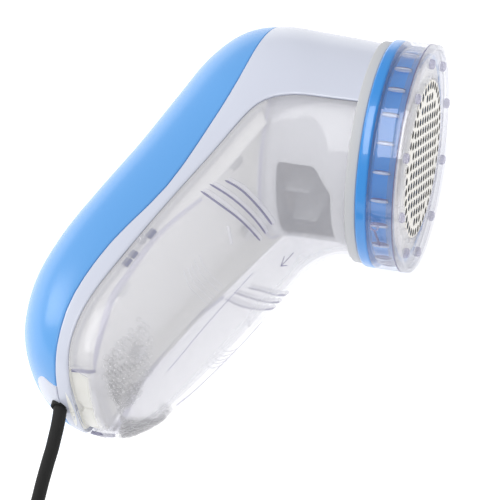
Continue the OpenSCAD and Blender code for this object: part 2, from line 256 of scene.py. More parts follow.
def tube(path: np.ndarray, radii: np.ndarray | float, sides: int = 12,
         flat: float = 1.0) -> Form:
    """A closed tube along a path.

    Each ring stands square to the path, its side being the path's direction crossed with a
    fixed vector, and its ends are closed.

    Args:
        path: Points of the centre line.
        radii: Radius at each point, or one for all.
        sides: Points round each ring.
        flat: Ratio of the ring's height to its width.

    Returns:
        The tube.
    """
    path = np.asarray(path, float)
    radii = np.broadcast_to(np.asarray(radii, float), (len(path),))[:, None, None]
    way = np.gradient(path, axis=0)
    way /= np.linalg.norm(way, axis=1, keepdims=True)
    side = np.cross(way, [0.03, 0.02, 1.0])
    side /= np.linalg.norm(side, axis=1, keepdims=True)
    up = np.cross(side, way)
    a = np.linspace(0, 2 * np.pi, sides, endpoint=False)[None, :, None]
    ring = np.cos(a) * side[:, None] + flat * np.sin(a) * up[:, None]
    form = grid_form(path[:, None] + radii * ring, loop_columns=True)
    return capped(form, len(path), sides)


def block(low: tuple, high: tuple, edge: float = 0.3) -> Form:
    """A box between two corners whose edges are rounded.

    It is a superellipsoid: each coordinate is a signed power of the sphere's, so that the
    faces are flat and the edges turn over about the given length.

    Args:
        low: Lowest corner.
        high: Highest corner.
        edge: Rounding of the edges, in mm.

    Returns:
        The box.
    """
    half = (np.array(high, float) - np.array(low, float)) / 2
    power = min(1.0, 1.6 * edge / float(half.min()) + 0.04)
    u = np.linspace(-np.pi / 2, np.pi / 2, 17)[:, None]
    v = np.linspace(0, 2 * np.pi, 32, endpoint=False)[None]
    cu, su = signed_power(np.cos(u), power), signed_power(np.sin(u), power)
    unit = np.stack([cu * signed_power(np.cos(v), power), cu * signed_power(np.sin(v), power),
                     np.broadcast_to(su, (17, 32))], -1)
    return grid_form((np.array(low) + np.array(high)) / 2 + unit * half, loop_columns=True)


def ball(rows: int, columns: int) -> np.ndarray:
    """Grid of points on the unit sphere, from pole to pole and round."""
    u = np.linspace(-np.pi / 2, np.pi / 2, rows)[:, None]
    v = np.linspace(0, 2 * np.pi, columns, endpoint=False)[None]
    return np.stack([np.cos(u) * np.cos(v), np.cos(u) * np.sin(v), np.sin(u) + 0 * v], -1)


def circle(radius: float, centre: tuple[float, float] = (0, 0), sides: int = 14) -> np.ndarray:
    """Points round a circle in the plane."""
    a = np.linspace(0, 2 * np.pi, sides, endpoint=False)
    return np.stack([np.cos(a), np.sin(a)], -1) * radius + np.array(centre)


def pierced_sheet(outline: np.ndarray, holes: list[np.ndarray],
                  fill: np.ndarray | None = None) -> tuple[np.ndarray, np.ndarray]:
    """Triangles of a flat sheet inside an outline and outside its holes.

    Args:
        outline: Points round the sheet.
        holes: Points round each hole.
        fill: More points inside, so that the sheet can be bent afterwards.

    Returns:
        The points, and the triangles between them.
    """
    loops = [outline, *holes]
    sizes = np.array([len(p) for p in loops])
    starts = np.concatenate([[0], np.cumsum(sizes)[:-1]])
    edges = []
    for start, size in zip(starts, sizes):
        ring = np.arange(size)
        edges.extend(np.stack([start + ring, start + (ring + 1) % size], -1).tolist())
    points = np.concatenate(loops + ([] if fill is None else [fill]))
    made = delaunay_2d_cdt([Vector(p) for p in points], edges, [], 0, 1e-5)
    points = np.array([tuple(p) for p in made[0]])
    faces = np.array([f for f in made[2] if len(f) == 3])
    middle = points[faces].mean(1)
    keep = inside(middle, outline)
    for hole in holes:
        near = np.linalg.norm(middle - hole.mean(0), axis=1) < np.ptp(hole, 0).max()
        keep[near] &= ~inside(middle[near], hole)
    return points, faces[keep]


def inside(points: np.ndarray, loop: np.ndarray) -> np.ndarray:
    """Whether each point is inside a loop: a ray from it crosses the loop an odd number of times."""
    x, y = points[:, 0][:, None], points[:, 1][:, None]
    ax, ay = loop[:, 0][None], loop[:, 1][None]
    bx, by = np.roll(loop[:, 0], -1)[None], np.roll(loop[:, 1], -1)[None]
    rise = np.where(by == ay, 1e-12, by - ay)
    crosses = ((ay > y) != (by > y)) & (x < (bx - ax) * (y - ay) / rise + ax)
    return crosses.sum(1) % 2 == 1


def linked(name: str, data: bpy.types.ID) -> bpy.types.Object:
    """A new object in the scene with the given data."""
    made = bpy.data.objects.new(name, data)
    bpy.context.scene.collection.objects.link(made)
    return made


def make_piece(name: str, form: Form, body: str, finish: "Finish", sharp: float = 35.0,
               away: tuple | None = None, wall: float = 0.0, drawn: bool = True,
               lining: "Finish | None" = None, cut: Form | None = None) -> bpy.types.Object:
    """Puts a form into Blender as one piece.

    Doubles are merged. A closed form is turned so that its volume is positive; an open one so
    that its faces look away from a point, and it is then given a wall inwards.

    Args:
        name: Name of the piece.
        form: Points in mm and faces.
        body: Body that the piece rides on.
        finish: Finish that it takes.
        sharp: Angle in degrees over which an edge stays sharp.
        away: For an open form, a point in mm that its faces look away from.
        wall: Thickness of the wall in mm that an open form gets.
        drawn: Whether the form is in the drawn frame, not the laid one.
        lining: Finish of the wall's inner side, if it differs.
        cut: A form in mm that is taken out of the piece.

    Returns:
        The object.
    """
    points = laid(form.points) if drawn else form.points * MM
    mesh = bpy.data.meshes.new(name)
    mesh.from_pydata(points.tolist(), [], form.faces)
    piece = linked(name, mesh)
    work = bmesh.new()
    work.from_mesh(mesh)
    bmesh.ops.remove_doubles(work, verts=work.verts, dist=2e-6)
    bmesh.ops.dissolve_degenerate(work, edges=work.edges, dist=1e-7)
    bmesh.ops.recalc_face_normals(work, faces=work.faces)
    if away is not None:
        centre = Vector(laid(np.array(away, float)) if drawn else np.array(away) * MM)
        facing = sum((f.calc_center_median() - centre).normalized().dot(f.normal) * f.calc_area()
                     for f in work.faces)
        if facing < 0:
            bmesh.ops.reverse_faces(work, faces=work.faces)
    elif work.calc_volume(signed=True) < 0:
        bmesh.ops.reverse_faces(work, faces=work.faces)
    work.to_mesh(mesh)
    work.free()
    mesh.polygons.foreach_set("use_smooth", np.ones(len(mesh.polygons), bool))
    mesh.set_sharp_from_angle(angle=math.radians(sharp))
    if wall > 0:
        thick = piece.modifiers.new("wall", "SOLIDIFY")
        thick.thickness = wall * MM
        thick.offset = -1
    if cut is not None:
        carve(piece, cut, sharp)
    dress(piece, finish)
    if lining is not None:
        piece.data.materials.append(lining.material())
        piece.modifiers["wall"].material_offset = 1
    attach(piece, body)
    LOG.info("%s: %d faces, on %s", name, len(mesh.polygons), body)
    return piece


def carve(piece: bpy.types.Object, form: Form, sharp: float) -> None:
    """Takes a form of the drawn frame out of a piece, and keeps the outcome as its mesh.

    Args:
        piece: The piece, with its wall modifier.
        form: What to take out.
        sharp: Angle in degrees over which an edge stays sharp.
    """
    mesh = bpy.data.meshes.new("tool")
    mesh.from_pydata(laid(form.points).tolist(), [], form.faces)
    tool = linked("tool", mesh)
    less = piece.modifiers.new("cut", "BOOLEAN")
    less.operation = "DIFFERENCE"
    less.object = tool
    whole = piece.evaluated_get(bpy.context.evaluated_depsgraph_get())
    piece.data = bpy.data.meshes.new_from_object(whole)
    piece.modifiers.clear()
    piece.data.set_sharp_from_angle(angle=math.radians(sharp))
    bpy.data.objects.remove(tool)


def dress(piece: bpy.types.Object, finish: "Finish") -> None:
    """Gives a piece its finish."""
    piece.data.materials.clear()
    piece.data.materials.append(finish.material())


# ------------------------------------------------------------------ finishes


class Surface(Enum):
    """Kinds of surface detail."""

    GLOSS = "gloss"
    SATIN = "satin"
    BRUSHED = "brushed"
    CAST = "cast"


RELIEF = {Surface.GLOSS: (420.0, 0.04), Surface.SATIN: (1500.0, 0.12),
          Surface.BRUSHED: (700.0, 0.2), Surface.CAST: (900.0, 0.35)}  # noise scale, bump strength


def settle(node: bpy.types.Node, values: dict) -> bpy.types.Node:
    """Sets the named inputs of a node, and returns the node."""
    for name, value in values.items():
        node.inputs[name].default_value = value
    return node


@dataclass(frozen=True)
class Finish:
    """An opaque finish: a colour with slight mottling, and the fine relief of its surface.

    The colour is mixed with a darker tone by a soft noise, and the relief is a bump from a
    fine noise, stretched along one axis where the surface is brushed. Painted light: the
    glow is emission in the finish's own colour, which makes a part shine though it is no lamp.
    """

    slot: str
    colour: tuple[float, float, float]
    roughness: float = 0.3
    surface: Surface = Surface.GLOSS
    metallic: float = 0.0
    coat: float = 0.0
    mottle: float = 0.05
    soft: float = 0.0
    # painted light: emission in the finish's own colour, making a part glow though it is no lamp
    painted_glow: float = 0.0
    name: str = ""

    def material(self) -> bpy.types.Material:
        """The finish as a node material, made once and then shared."""
        title = self.name or self.slot
        made = bpy.data.materials.get(title)
        if made is None:
            made = bpy.data.materials.new(title)
            made.use_nodes = True
            self.fill(made)
        return made

    def fill(self, made: bpy.types.Material) -> None:
        """Puts the finish's nodes into a new material."""
        nodes, links = made.node_tree.nodes, made.node_tree.links
        shader = nodes["Principled BSDF"]
        settle(shader, {
            "Metallic": self.metallic, "Coat Weight": self.coat, "Coat Roughness": 0.03,
            "Subsurface Weight": self.soft, "Emission Color": (*self.colour, 1),
            "Emission Strength": self.painted_glow, "Subsurface Radius": (0.002, 0.002, 0.0025)})
        stretch = (14.0, 1.0, 1.0) if self.surface is Surface.BRUSHED else (1.0, 1.0, 1.0)
        place = nodes.new("ShaderNodeTexCoord")
        scale = settle(nodes.new("ShaderNodeMapping"), {"Scale": stretch})
        links.new(place.outputs["Object"], scale.inputs["Vector"])
        cloud = settle(nodes.new("ShaderNodeTexNoise"), {"Scale": 45.0, "Detail": 4.0})
        links.new(scale.outputs["Vector"], cloud.inputs["Vector"])
        blend = nodes.new("ShaderNodeMix")
        blend.data_type = "RGBA"
        settle(blend, {"A": (*[c * (1 - self.mottle) for c in self.colour], 1),
                       "B": (*[min(1, c * (1 + self.mottle)) for c in self.colour], 1)})
        links.new(cloud.outputs["Fac"], blend.inputs["Factor"])
        links.new(blend.outputs["Result"], shader.inputs["Base Color"])
        grain_scale, strength = RELIEF[self.surface]
        grain = settle(nodes.new("ShaderNodeTexNoise"), {"Scale": grain_scale, "Detail": 3.0})
        links.new(scale.outputs["Vector"], grain.inputs["Vector"])
        rough = settle(nodes.new("ShaderNodeMapRange"), {
            "To Min": max(0.02, self.roughness - 0.06), "To Max": self.roughness + 0.06})
        links.new(grain.outputs["Fac"], rough.inputs["Value"])
        links.new(rough.outputs["Result"], shader.inputs["Roughness"])
        relief = settle(nodes.new("ShaderNodeBump"), {"Strength": strength, "Distance": 0.0002})
        links.new(grain.outputs["Fac"], relief.inputs["Height"])
        links.new(relief.outputs["Normal"], shader.inputs["Normal"])


MIRROR_POWER = 5.0
BODY_POWER = 3.4
HEAD_ON_MIRROR = 0.045


@dataclass(frozen=True)
class ClearPlastic(Finish):
    """Clear moulded plastic, seen as a skin that lets most light straight through.

    With f = 1 - |cos| of the angle of view, the surface reflects r + (mirror - r) f^5 of the
    light (after Schlick, r = 0.045), and of the rest a share haze + (edge - haze) f^3.4 comes
    from the plastic itself, whose colour deepens to a violet at the edges.
    """

    haze: float = 0.1
    edge: float = 0.55
    mirror: float = 0.6
    rim: tuple[float, float, float] = (0.42, 0.40, 0.62)
    tint: tuple[float, float, float] = (0.97, 0.97, 0.985)

    def fill(self, made: bpy.types.Material) -> None:
        """Puts the clear plastic's nodes into a new material."""
        nodes, links = made.node_tree.nodes, made.node_tree.links
        place = nodes.new("ShaderNodeTexCoord")
        flow = settle(nodes.new("ShaderNodeTexNoise"), {"Scale": 70.0, "Detail": 2.0})
        links.new(place.outputs["Object"], flow.inputs["Vector"])
        waves = settle(nodes.new("ShaderNodeBump"), {"Strength": 0.1, "Distance": 0.001})
        links.new(flow.outputs["Fac"], waves.inputs["Height"])
        view = settle(nodes.new("ShaderNodeLayerWeight"), {"Blend": 0.5})
        links.new(waves.outputs["Normal"], view.inputs["Normal"])
        turned_away = view.outputs["Facing"]
        tint = nodes.new("ShaderNodeMix")
        tint.data_type = "RGBA"
        settle(tint, {"A": (*self.colour, 1), "B": (*self.rim, 1)})
        deepen = self.curve(made, turned_away, MIRROR_POWER, 0.0, 1.0)
        links.new(deepen, tint.inputs["Factor"])
        core = settle(nodes["Principled BSDF"], {"Roughness": 0.3})
        links.new(tint.outputs["Result"], core.inputs["Base Color"])
        links.new(waves.outputs["Normal"], core.inputs["Normal"])
        clear = settle(nodes.new("ShaderNodeBsdfTransparent"), {"Color": (*self.tint, 1)})
        share = self.curve(made, turned_away, BODY_POWER, self.haze, self.edge)
        body = self.mixed(made, share, clear.outputs["BSDF"], core.outputs["BSDF"])
        gloss = settle(nodes.new("ShaderNodeBsdfAnisotropic"), {"Roughness": self.roughness})
        links.new(waves.outputs["Normal"], gloss.inputs["Normal"])
        share = self.curve(made, turned_away, MIRROR_POWER, HEAD_ON_MIRROR, self.mirror)
        shine = self.mixed(made, share, body, gloss.outputs["BSDF"])
        through = settle(nodes.new("ShaderNodeBsdfTransparent"), {"Color": (0.96, 0.96, 0.97, 1)})
        rays = nodes.new("ShaderNodeLightPath")
        pick = self.mixed(made, rays.outputs["Is Shadow Ray"], shine, through.outputs["BSDF"])
        links.new(pick, nodes["Material Output"].inputs["Surface"])

    def mixed(self, made: bpy.types.Material, share: bpy.types.NodeSocket,
              first: bpy.types.NodeSocket, second: bpy.types.NodeSocket) -> bpy.types.NodeSocket:
        """A node socket that holds the first shader, with a share of the second."""
        nodes, links = made.node_tree.nodes, made.node_tree.links
        mix = nodes.new("ShaderNodeMixShader")
        links.new(share, mix.inputs["Fac"])
        links.new(first, mix.inputs[1])
        links.new(second, mix.inputs[2])
        return mix.outputs["Shader"]

    def curve(self, made: bpy.types.Material, value: bpy.types.NodeSocket, power: float,
              low: float, high: float) -> bpy.types.NodeSocket:
        """A node socket that holds low + (high - low) times value to a power."""
        nodes, links = made.node_tree.nodes, made.node_tree.links
        raised = nodes.new("ShaderNodeMath")
        raised.operation = "POWER"
        raised.inputs[1].default_value = power
        links.new(value, raised.inputs[0])
        scaled = nodes.new("ShaderNodeMath")
        scaled.operation = "MULTIPLY_ADD"
        scaled.inputs[1].default_value = high - low
        scaled.inputs[2].default_value = low
        links.new(raised.outputs["Value"], scaled.inputs[0])
        return scaled.outputs["Value"]


SKY_BLUE = Finish("cover_blue", (0.10, 0.315, 0.72), 0.22, coat=1.0)
RING_BLUE = Finish("cover_blue", (0.035, 0.29, 0.78), 0.3, coat=0.6, name="ring_blue")
HOUSING = Finish("housing_white", (0.57, 0.605, 0.69), 0.33, Surface.SATIN, soft=0.05, mottle=0.02)
CLEAR = ClearPlastic("clear_shell", (0.88, 0.865, 0.82), 0.03, haze=0.06, edge=0.85, mirror=0.4,
                     tint=(0.99, 0.985, 0.968))
PEBBLE = ClearPlastic("clear_shell", (0.88, 0.88, 0.90), 0.03, name="clear_pebble", haze=0.12,
                      edge=0.4, rim=(0.72, 0.71, 0.80), tint=(0.995, 0.995, 0.995))
GLASSY = ClearPlastic("clear_shell", (0.88, 0.90, 0.96), 0.03, name="clear_ring", haze=0.03,
                      edge=0.4, rim=(0.58, 0.60, 0.74))
RIB = ClearPlastic("clear_shell", (0.80, 0.86, 0.97), 0.04, name="clear_rib", haze=0.4,
                   edge=0.7, rim=(0.50, 0.55, 0.75))
VIOLET = ClearPlastic("clear_shell", (0.46, 0.44, 0.66), 0.05, name="clear_edge", haze=0.28,
                      edge=0.85, rim=(0.20, 0.18, 0.36))
DARK_EDGE = ClearPlastic("clear_shell", (0.20, 0.19, 0.36), 0.05, name="dark_edge", haze=0.55,
                         edge=0.95, rim=(0.08, 0.07, 0.2))
CHAMBER = Finish("chamber_white", (0.70, 0.72, 0.74), 0.34, Surface.SATIN, mottle=0.03)
# painted shade: a dark brown copy of the white chamber plastic, lining the chamber's inside where shade
# falls
CHAMBER_PAINTED_SHADE = Finish("chamber_white", (0.20, 0.18, 0.155), 0.5, Surface.SATIN,
                        name="chamber_inside_painted_shade", mottle=0.15)
# painted light: a copy of the housing plastic that glows (emission 0.2), brightening the lint floor and rim
# ledge inside the container though they are no lamp
FLOOR_GREY_PAINTED_GLOW = Finish("housing_white", (0.74, 0.735, 0.70), 0.4, Surface.SATIN, mottle=0.03,
                    painted_glow=0.2, name="housing_inside_painted_glow")
COLLAR = Finish("collar_grey", (0.56, 0.59, 0.62), 0.4, Surface.SATIN, mottle=0.03)
FOIL = Finish("foil_steel", (0.84, 0.80, 0.72), 0.4, Surface.BRUSHED, metallic=0.25)
STEEL = Finish("blade_steel", (0.55, 0.55, 0.56), 0.25, Surface.BRUSHED, metallic=1.0)
ACETAL = Finish("carrier_white", (0.80, 0.80, 0.78), 0.4, Surface.SATIN)
# painted shade: a near-black copy of the white carrier plastic, for the blade carrier that lies in shade
# under the foil
CARRIER_PAINTED_SHADE = Finish("carrier_white", (0.030, 0.026, 0.022), 0.5, Surface.SATIN, name="carrier_painted_shade")
SPRING = Finish("spring_steel", (0.45, 0.45, 0.46), 0.3, Surface.BRUSHED, metallic=1.0)
FAN = Finish("fan_grey", (0.46, 0.47, 0.49), 0.3, Surface.SATIN, soft=0.1, mottle=0.1)
# painted shade: a near-black copy of the grey fan plastic for the backplate, deep in the chamber's shade
FAN_PLATE_PAINTED_SHADE = Finish("fan_grey", (0.12, 0.105, 0.085), 0.5, Surface.SATIN, name="fan_plate_painted_shade")
ZINC = Finish("zinc", (0.60, 0.60, 0.62), 0.35, Surface.BRUSHED, metallic=1.0)
MAGNET = Finish("magnet", (0.07, 0.07, 0.075), 0.6, Surface.CAST)
BRONZE = Finish("bronze", (0.62, 0.40, 0.18), 0.4, Surface.CAST, metallic=1.0)
COPPER = Finish("copper", (0.66, 0.32, 0.15), 0.3, Surface.BRUSHED, metallic=1.0)
CARBON = Finish("carbon", (0.03, 0.03, 0.03), 0.7, Surface.CAST)
BOARD = Finish("board_green", (0.02, 0.16, 0.06), 0.35, Surface.SATIN, coat=0.3)
BLACK = Finish("part_black", (0.025, 0.025, 0.027), 0.4, Surface.SATIN)
NAVY = Finish("part_navy", (0.012, 0.018, 0.09), 0.35, Surface.SATIN, coat=0.2)
TAN = Finish("part_tan", (0.55, 0.40, 0.24), 0.5, Surface.CAST)
RED_LEAD = Finish("lead_red", (0.42, 0.03, 0.025), 0.45, Surface.SATIN)
RUBBER = Finish("cord_black", (0.012, 0.012, 0.013), 0.42, Surface.SATIN, mottle=0.2)
TIE = Finish("tie_grey", (0.09, 0.09, 0.095), 0.45, Surface.SATIN)
NICKEL = Finish("pin_metal", (0.72, 0.69, 0.60), 0.22, Surface.BRUSHED, metallic=1.0)


# ------------------------------------------------------------------ studio


@dataclass
class Studio:
    """Camera, lights, floor and backdrop."""

    look_at: tuple = (-52.0, -38.0, 0.0)
    back: tuple = (0.24, -0.52742, 0.815)
    right: tuple = (0.96060481, 0.25021916, -0.12094947)
    up: tuple = (-0.14013709, 0.81192079, 0.56669765)
    distance: float = 900.0
    lens: float = 209.03
    shift: tuple = (0.0114, -0.0312)

    def camera(self) -> None:
        """Sets the camera square to its three directions, at its distance from the look-at point."""
        turn = lean_matrix()
        axes = np.stack([turn @ np.array(self.right), turn @ np.array(self.up),
                         turn @ np.array(self.back)], 1)
        place = laid(np.array(self.look_at) + np.array(self.back) * self.distance)
        data = bpy.data.cameras.new("camera")
        data.lens = self.lens
        data.sensor_width = 36.0
        data.shift_x, data.shift_y = self.shift
        data.clip_start, data.clip_end = 0.05, 50.0
        eye = linked("camera", data)
        matrix = Matrix(axes.tolist()).to_4x4()
        matrix.translation = Vector(place)
        eye.matrix_world = matrix
        bpy.context.scene.camera = eye

    def softbox(self, name: str, way: tuple, size: tuple, power: float,
                distance: float = 1.0, long_way: tuple = (0, 1, 0)) -> None:
        """A rectangular light that faces the shaver.

        Args:
            name: Its name.
            way: Direction from the shaver to the light.
            size: Width and length in metres.
            power: Power in watts.
            distance: Distance in metres.
            long_way: Direction that its length follows as nearly as it can.
        """
        data = bpy.data.lights.new(name, "AREA")
        data.shape = "RECTANGLE"
        data.size, data.size_y = size
        data.energy = power
        lamp = linked(name, data)
        z = Vector(way).normalized()
        x = Vector(long_way).cross(z).normalized()
        y = z.cross(x)
        matrix = Matrix((x, y, z)).transposed().to_4x4()
        matrix.translation = Vector((0, 0, 0.04)) + z * distance
        lamp.matrix_world = matrix

    def backdrop(self) -> None:
        """A wide white floor that glows a little, under a white sky."""
        world = bpy.data.worlds.new("sky")
        world.use_nodes = True
        world.node_tree.nodes["Background"].inputs["Color"].default_value = (1, 1, 1, 1)
        world.node_tree.nodes["Background"].inputs["Strength"].default_value = 0.5
        bpy.context.scene.world = world
        mesh = bpy.data.meshes.new("floor")
        mesh.from_pydata([(-4, -4, 0), (4, -4, 0), (4, 4, 0), (-4, 4, 0)], [], [(0, 1, 2, 3)])
        floor = linked("floor", mesh)
        white = bpy.data.materials.new("floor_white")
        white.use_nodes = True
        shader = white.node_tree.nodes["Principled BSDF"]
        shader.inputs["Base Color"].default_value = (0.6, 0.6, 0.6, 1)
        shader.inputs["Roughness"].default_value = 0.9
        shader.inputs["Emission Color"].default_value = (1, 1, 1, 1)
        shader.inputs["Emission Strength"].default_value = 0.8
        mesh.materials.append(white)

    def build(self) -> None:
        """Makes the whole studio."""
        bpy.context.scene.view_settings.view_transform = "Standard"
        self.camera()
        self.softbox("top_box", (-0.24, -0.25, 0.94), (0.26, 0.9), 4.4)
        self.softbox("side_box", (-0.86, 0.18, 0.42), (0.42, 0.52), 2.6, long_way=(0, 0, 1))
        self.backdrop()


# ------------------------------------------------------------------ cord


@dataclass
class MainsCord:
    """Mains cord: out of the handle, down to the floor, and into a flat round coil.

    The coil is two layers. The lower one spirals inwards, one turn climbs inside it, and the
    upper one spirals outwards to the plug. All places are in mm in the laid frame.
    """

    radius: float = 2.1
    route: list = field(default_factory=lambda: [
        [-35.9, -70.8, 26.2], [-35.3, -74.3, 25.9], [-35, -77.7, 25], [-35, -80.9, 23.6],
        [-35.2, -83.8, 21.6], [-35.7, -86.4, 19.2], [-36.2, -88.7, 16.6], [-36.7, -90.9, 13.9],
        [-37.1, -93.2, 11.3], [-37.4, -95.8, 9], [-37.6, -98.7, 7], [-37.8, -102.3, 5.3],
        [-38, -106.1, 4], [-38.1, -110.5, 3.1], [-38.1, -115.5, 2.6], [-38.1, -120.5, 2.3],
        [-38.1, -125.5, 2.2], [-38.1, -131.4, 2.1], [-38.1, -137.5, 2.1]])
    coil_at: tuple = (-6.6, -144.0)
    outer_r: float = 31.5
    turns_in: float = 3.0
    turns_out: float = 3.25
    tail: list = field(default_factory=lambda: [
        [0, -175.5, 6.3], [5, -175.5, 6.3], [9, -175.4, 6.4], [13, -175.2, 6.6],
        [18, -175, 6.9], [20, -175, 6.9]])
    plug_at: tuple = (18.0, -175.0, 6.9)
    plug_neck: float = 12.0
    plug_len: float = 32.0

    def coil(self) -> np.ndarray:
        """Centre line of the coil.

        Lower layer: the radius falls by a diameter a turn. Climb: at share f of the turn the
        cord is f diameters up, and so far inside the turn before it that the two just touch.
        Upper layer: the radius grows by a diameter a turn.
        """
        d = 2 * self.radius
        inner = self.outer_r - d * self.turns_in
        a1 = np.linspace(0, self.turns_in, int(self.turns_in * 40), endpoint=False)
        r1 = self.outer_r - d * a1
        f = np.linspace(0, 1, 40, endpoint=False)
        start = self.outer_r - d * self.turns_out
        r2 = inner + d - d * f - d * np.sqrt(1 - f**2) + (start - inner) * f
        a3 = np.linspace(0, self.turns_out, int(self.turns_out * 40) + 1)
        r3 = start + d * a3
        turn = np.concatenate([a1, self.turns_in + f, self.turns_in + 1 + a3])
        r = np.concatenate([r1, r2, r3])
        z = self.radius + d * np.clip(turn - self.turns_in, 0, 1)
        angle = np.pi + 2 * np.pi * turn
        return np.stack([self.coil_at[0] + r * np.cos(angle), self.coil_at[1] + r * np.sin(angle),
                         z], -1)

    def path(self) -> np.ndarray:
        """The whole centre line: smooth curves through the route and tail, with the coil between."""
        coil = self.coil()
        head = smooth_line(self.route + [coil[0].tolist(), coil[2].tolist()], 4)[:-4]
        tail = smooth_line([coil[-3].tolist(), coil[-1].tolist()] + self.tail, 4)[4:]
        return np.concatenate([head[:-1], coil, tail[1:]])

    def build(self) -> None:
        """Cord, its tie, the plug with its pins, and the sleeve at the handle."""
        path = self.path()
        curve = bpy.data.curves.new("mains_cord", "CURVE")
        curve.dimensions = "3D"
        curve.bevel_depth = self.radius * MM
        curve.bevel_resolution = 5
        curve.use_fill_caps = True
        line = curve.splines.new("POLY")
        line.points.add(len(path) - 1)
        line.points.foreach_set("co", np.c_[path * MM, np.ones(len(path))].ravel())
        cord = linked("mains_cord", curve)
        curve.splines[0].use_smooth = True
        dress(cord, RUBBER)
        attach(cord, "housing")
        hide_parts("power_cord", "cord_coil", "cord_tail")
        plug = make_piece("mains_plug", self.plug(), "housing", RUBBER, drawn=False)
        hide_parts("plug_body")
        pins = make_piece("plug_contacts", self.pins(), "housing", NICKEL, drawn=False)
        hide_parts("plug_pins")
        tie = make_piece("coil_tie", self.tie(), "housing", TIE, drawn=False)
        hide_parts("cord_tie")
        sleeve = make_piece("cord_sleeve", self.sleeve(), "housing", RUBBER)
        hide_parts("cord_grommet")

    def plug(self) -> Form:
        """Two-pin plug: a ribbed neck that widens into a flat oval body.

        Each section is a superellipse whose half widths follow a smooth line along the plug;
        rings of the neck stand proud by a cosine of the place along it.
        """
        knots = np.array([[0, 2.7, 2.7], [6, 3.4, 3.3], [self.plug_neck, 5.0, 4.4], [17, 8.6, 5.6],
                          [24, 11.4, 6.4], [34, 12.9, 6.8], [42.6, 13.0, 6.8], [43.7, 12.5, 6.4],
                          [44, 11.6, 5.6]])
        s = along(knots, np.linspace(0, len(knots) - 1, 97))
        neck = np.clip((self.plug_neck - s[:, 0]) / 2, 0, 1)
        ribs = 0.22 * neck * np.cos(s[:, 0] * 2 * np.pi / 2.4)
        a = np.linspace(0, 2 * np.pi, 48, endpoint=False)
        y = (s[:, 1] + ribs)[:, None] * signed_power(np.cos(a), 0.8)
        z = (s[:, 2] + ribs)[:, None] * signed_power(np.sin(a), 0.8)
        x = np.broadcast_to(s[:, :1], y.shape)
        points = np.stack([x, y, z], -1) + np.array(self.plug_at)
        return capped(grid_form(points, loop_columns=True), 97, 48)

    def pins(self) -> Form:
        """Two round pins with rounded tips."""
        tip = self.plug_neck + self.plug_len
        outline = [[tip - 1, 0.01], [tip - 1, 2], [tip + 17, 2], [tip + 18.4, 1.6], [tip + 19, 0.8],
                   [tip + 19, 0.01]]
        pin = turned(outline, 0.3, 32)
        at = np.array(self.plug_at)
        return pin.mapped(np.eye(3), tuple(at - [0, 9.5, 0])).plus(
            pin.mapped(np.eye(3), tuple(at + [0, 9.5, 0])))

    def tie(self) -> Form:
        """Flat strap carried round a section of the coil, with a small buckle on top."""
        outline = rounded_loop([[-9.4, 0.2], [9.4, 0.2], [9.4, 9.2], [-9.4, 9.2]], 3.0, 6)
        centre = outline.mean(0)
        inner = centre + (outline - centre) * [0.945, 0.87]
        strap = np.stack([np.r_[outline, outline[:1]], np.r_[inner, inner[:1]]])
        x = np.array([-2.4, 2.4])
        loops = [np.c_[np.full(len(p), v), p] for p, v in
                 ((strap[0], x[0]), (strap[0], x[1]), (strap[1], x[1]), (strap[1], x[0]))]
        at = (self.coil_at[0], self.coil_at[1] + 25.2, 0)
        band = grid_form(np.stack(loops, 1), loop_columns=True)
        buckle = block((-3, -4, 8.0), (3, 1.2, 9.4), 0.4)
        return band.plus(buckle).mapped(np.eye(3), at)

    def sleeve(self) -> Form:
        """Strain relief: a ring at the skin, then a taper running up inside the handle."""
        outline = [[-1.2, 2.15], [-1.2, 2.9], [9, 2.95], [15, 2.8], [22, 2.35], [22, 2.12]]
        ring = turned(outline, 0.3, 48)
        return ring.mapped(turn_z(90), (-88, -107.4, 0))


# ------------------------------------------------------------------ shells


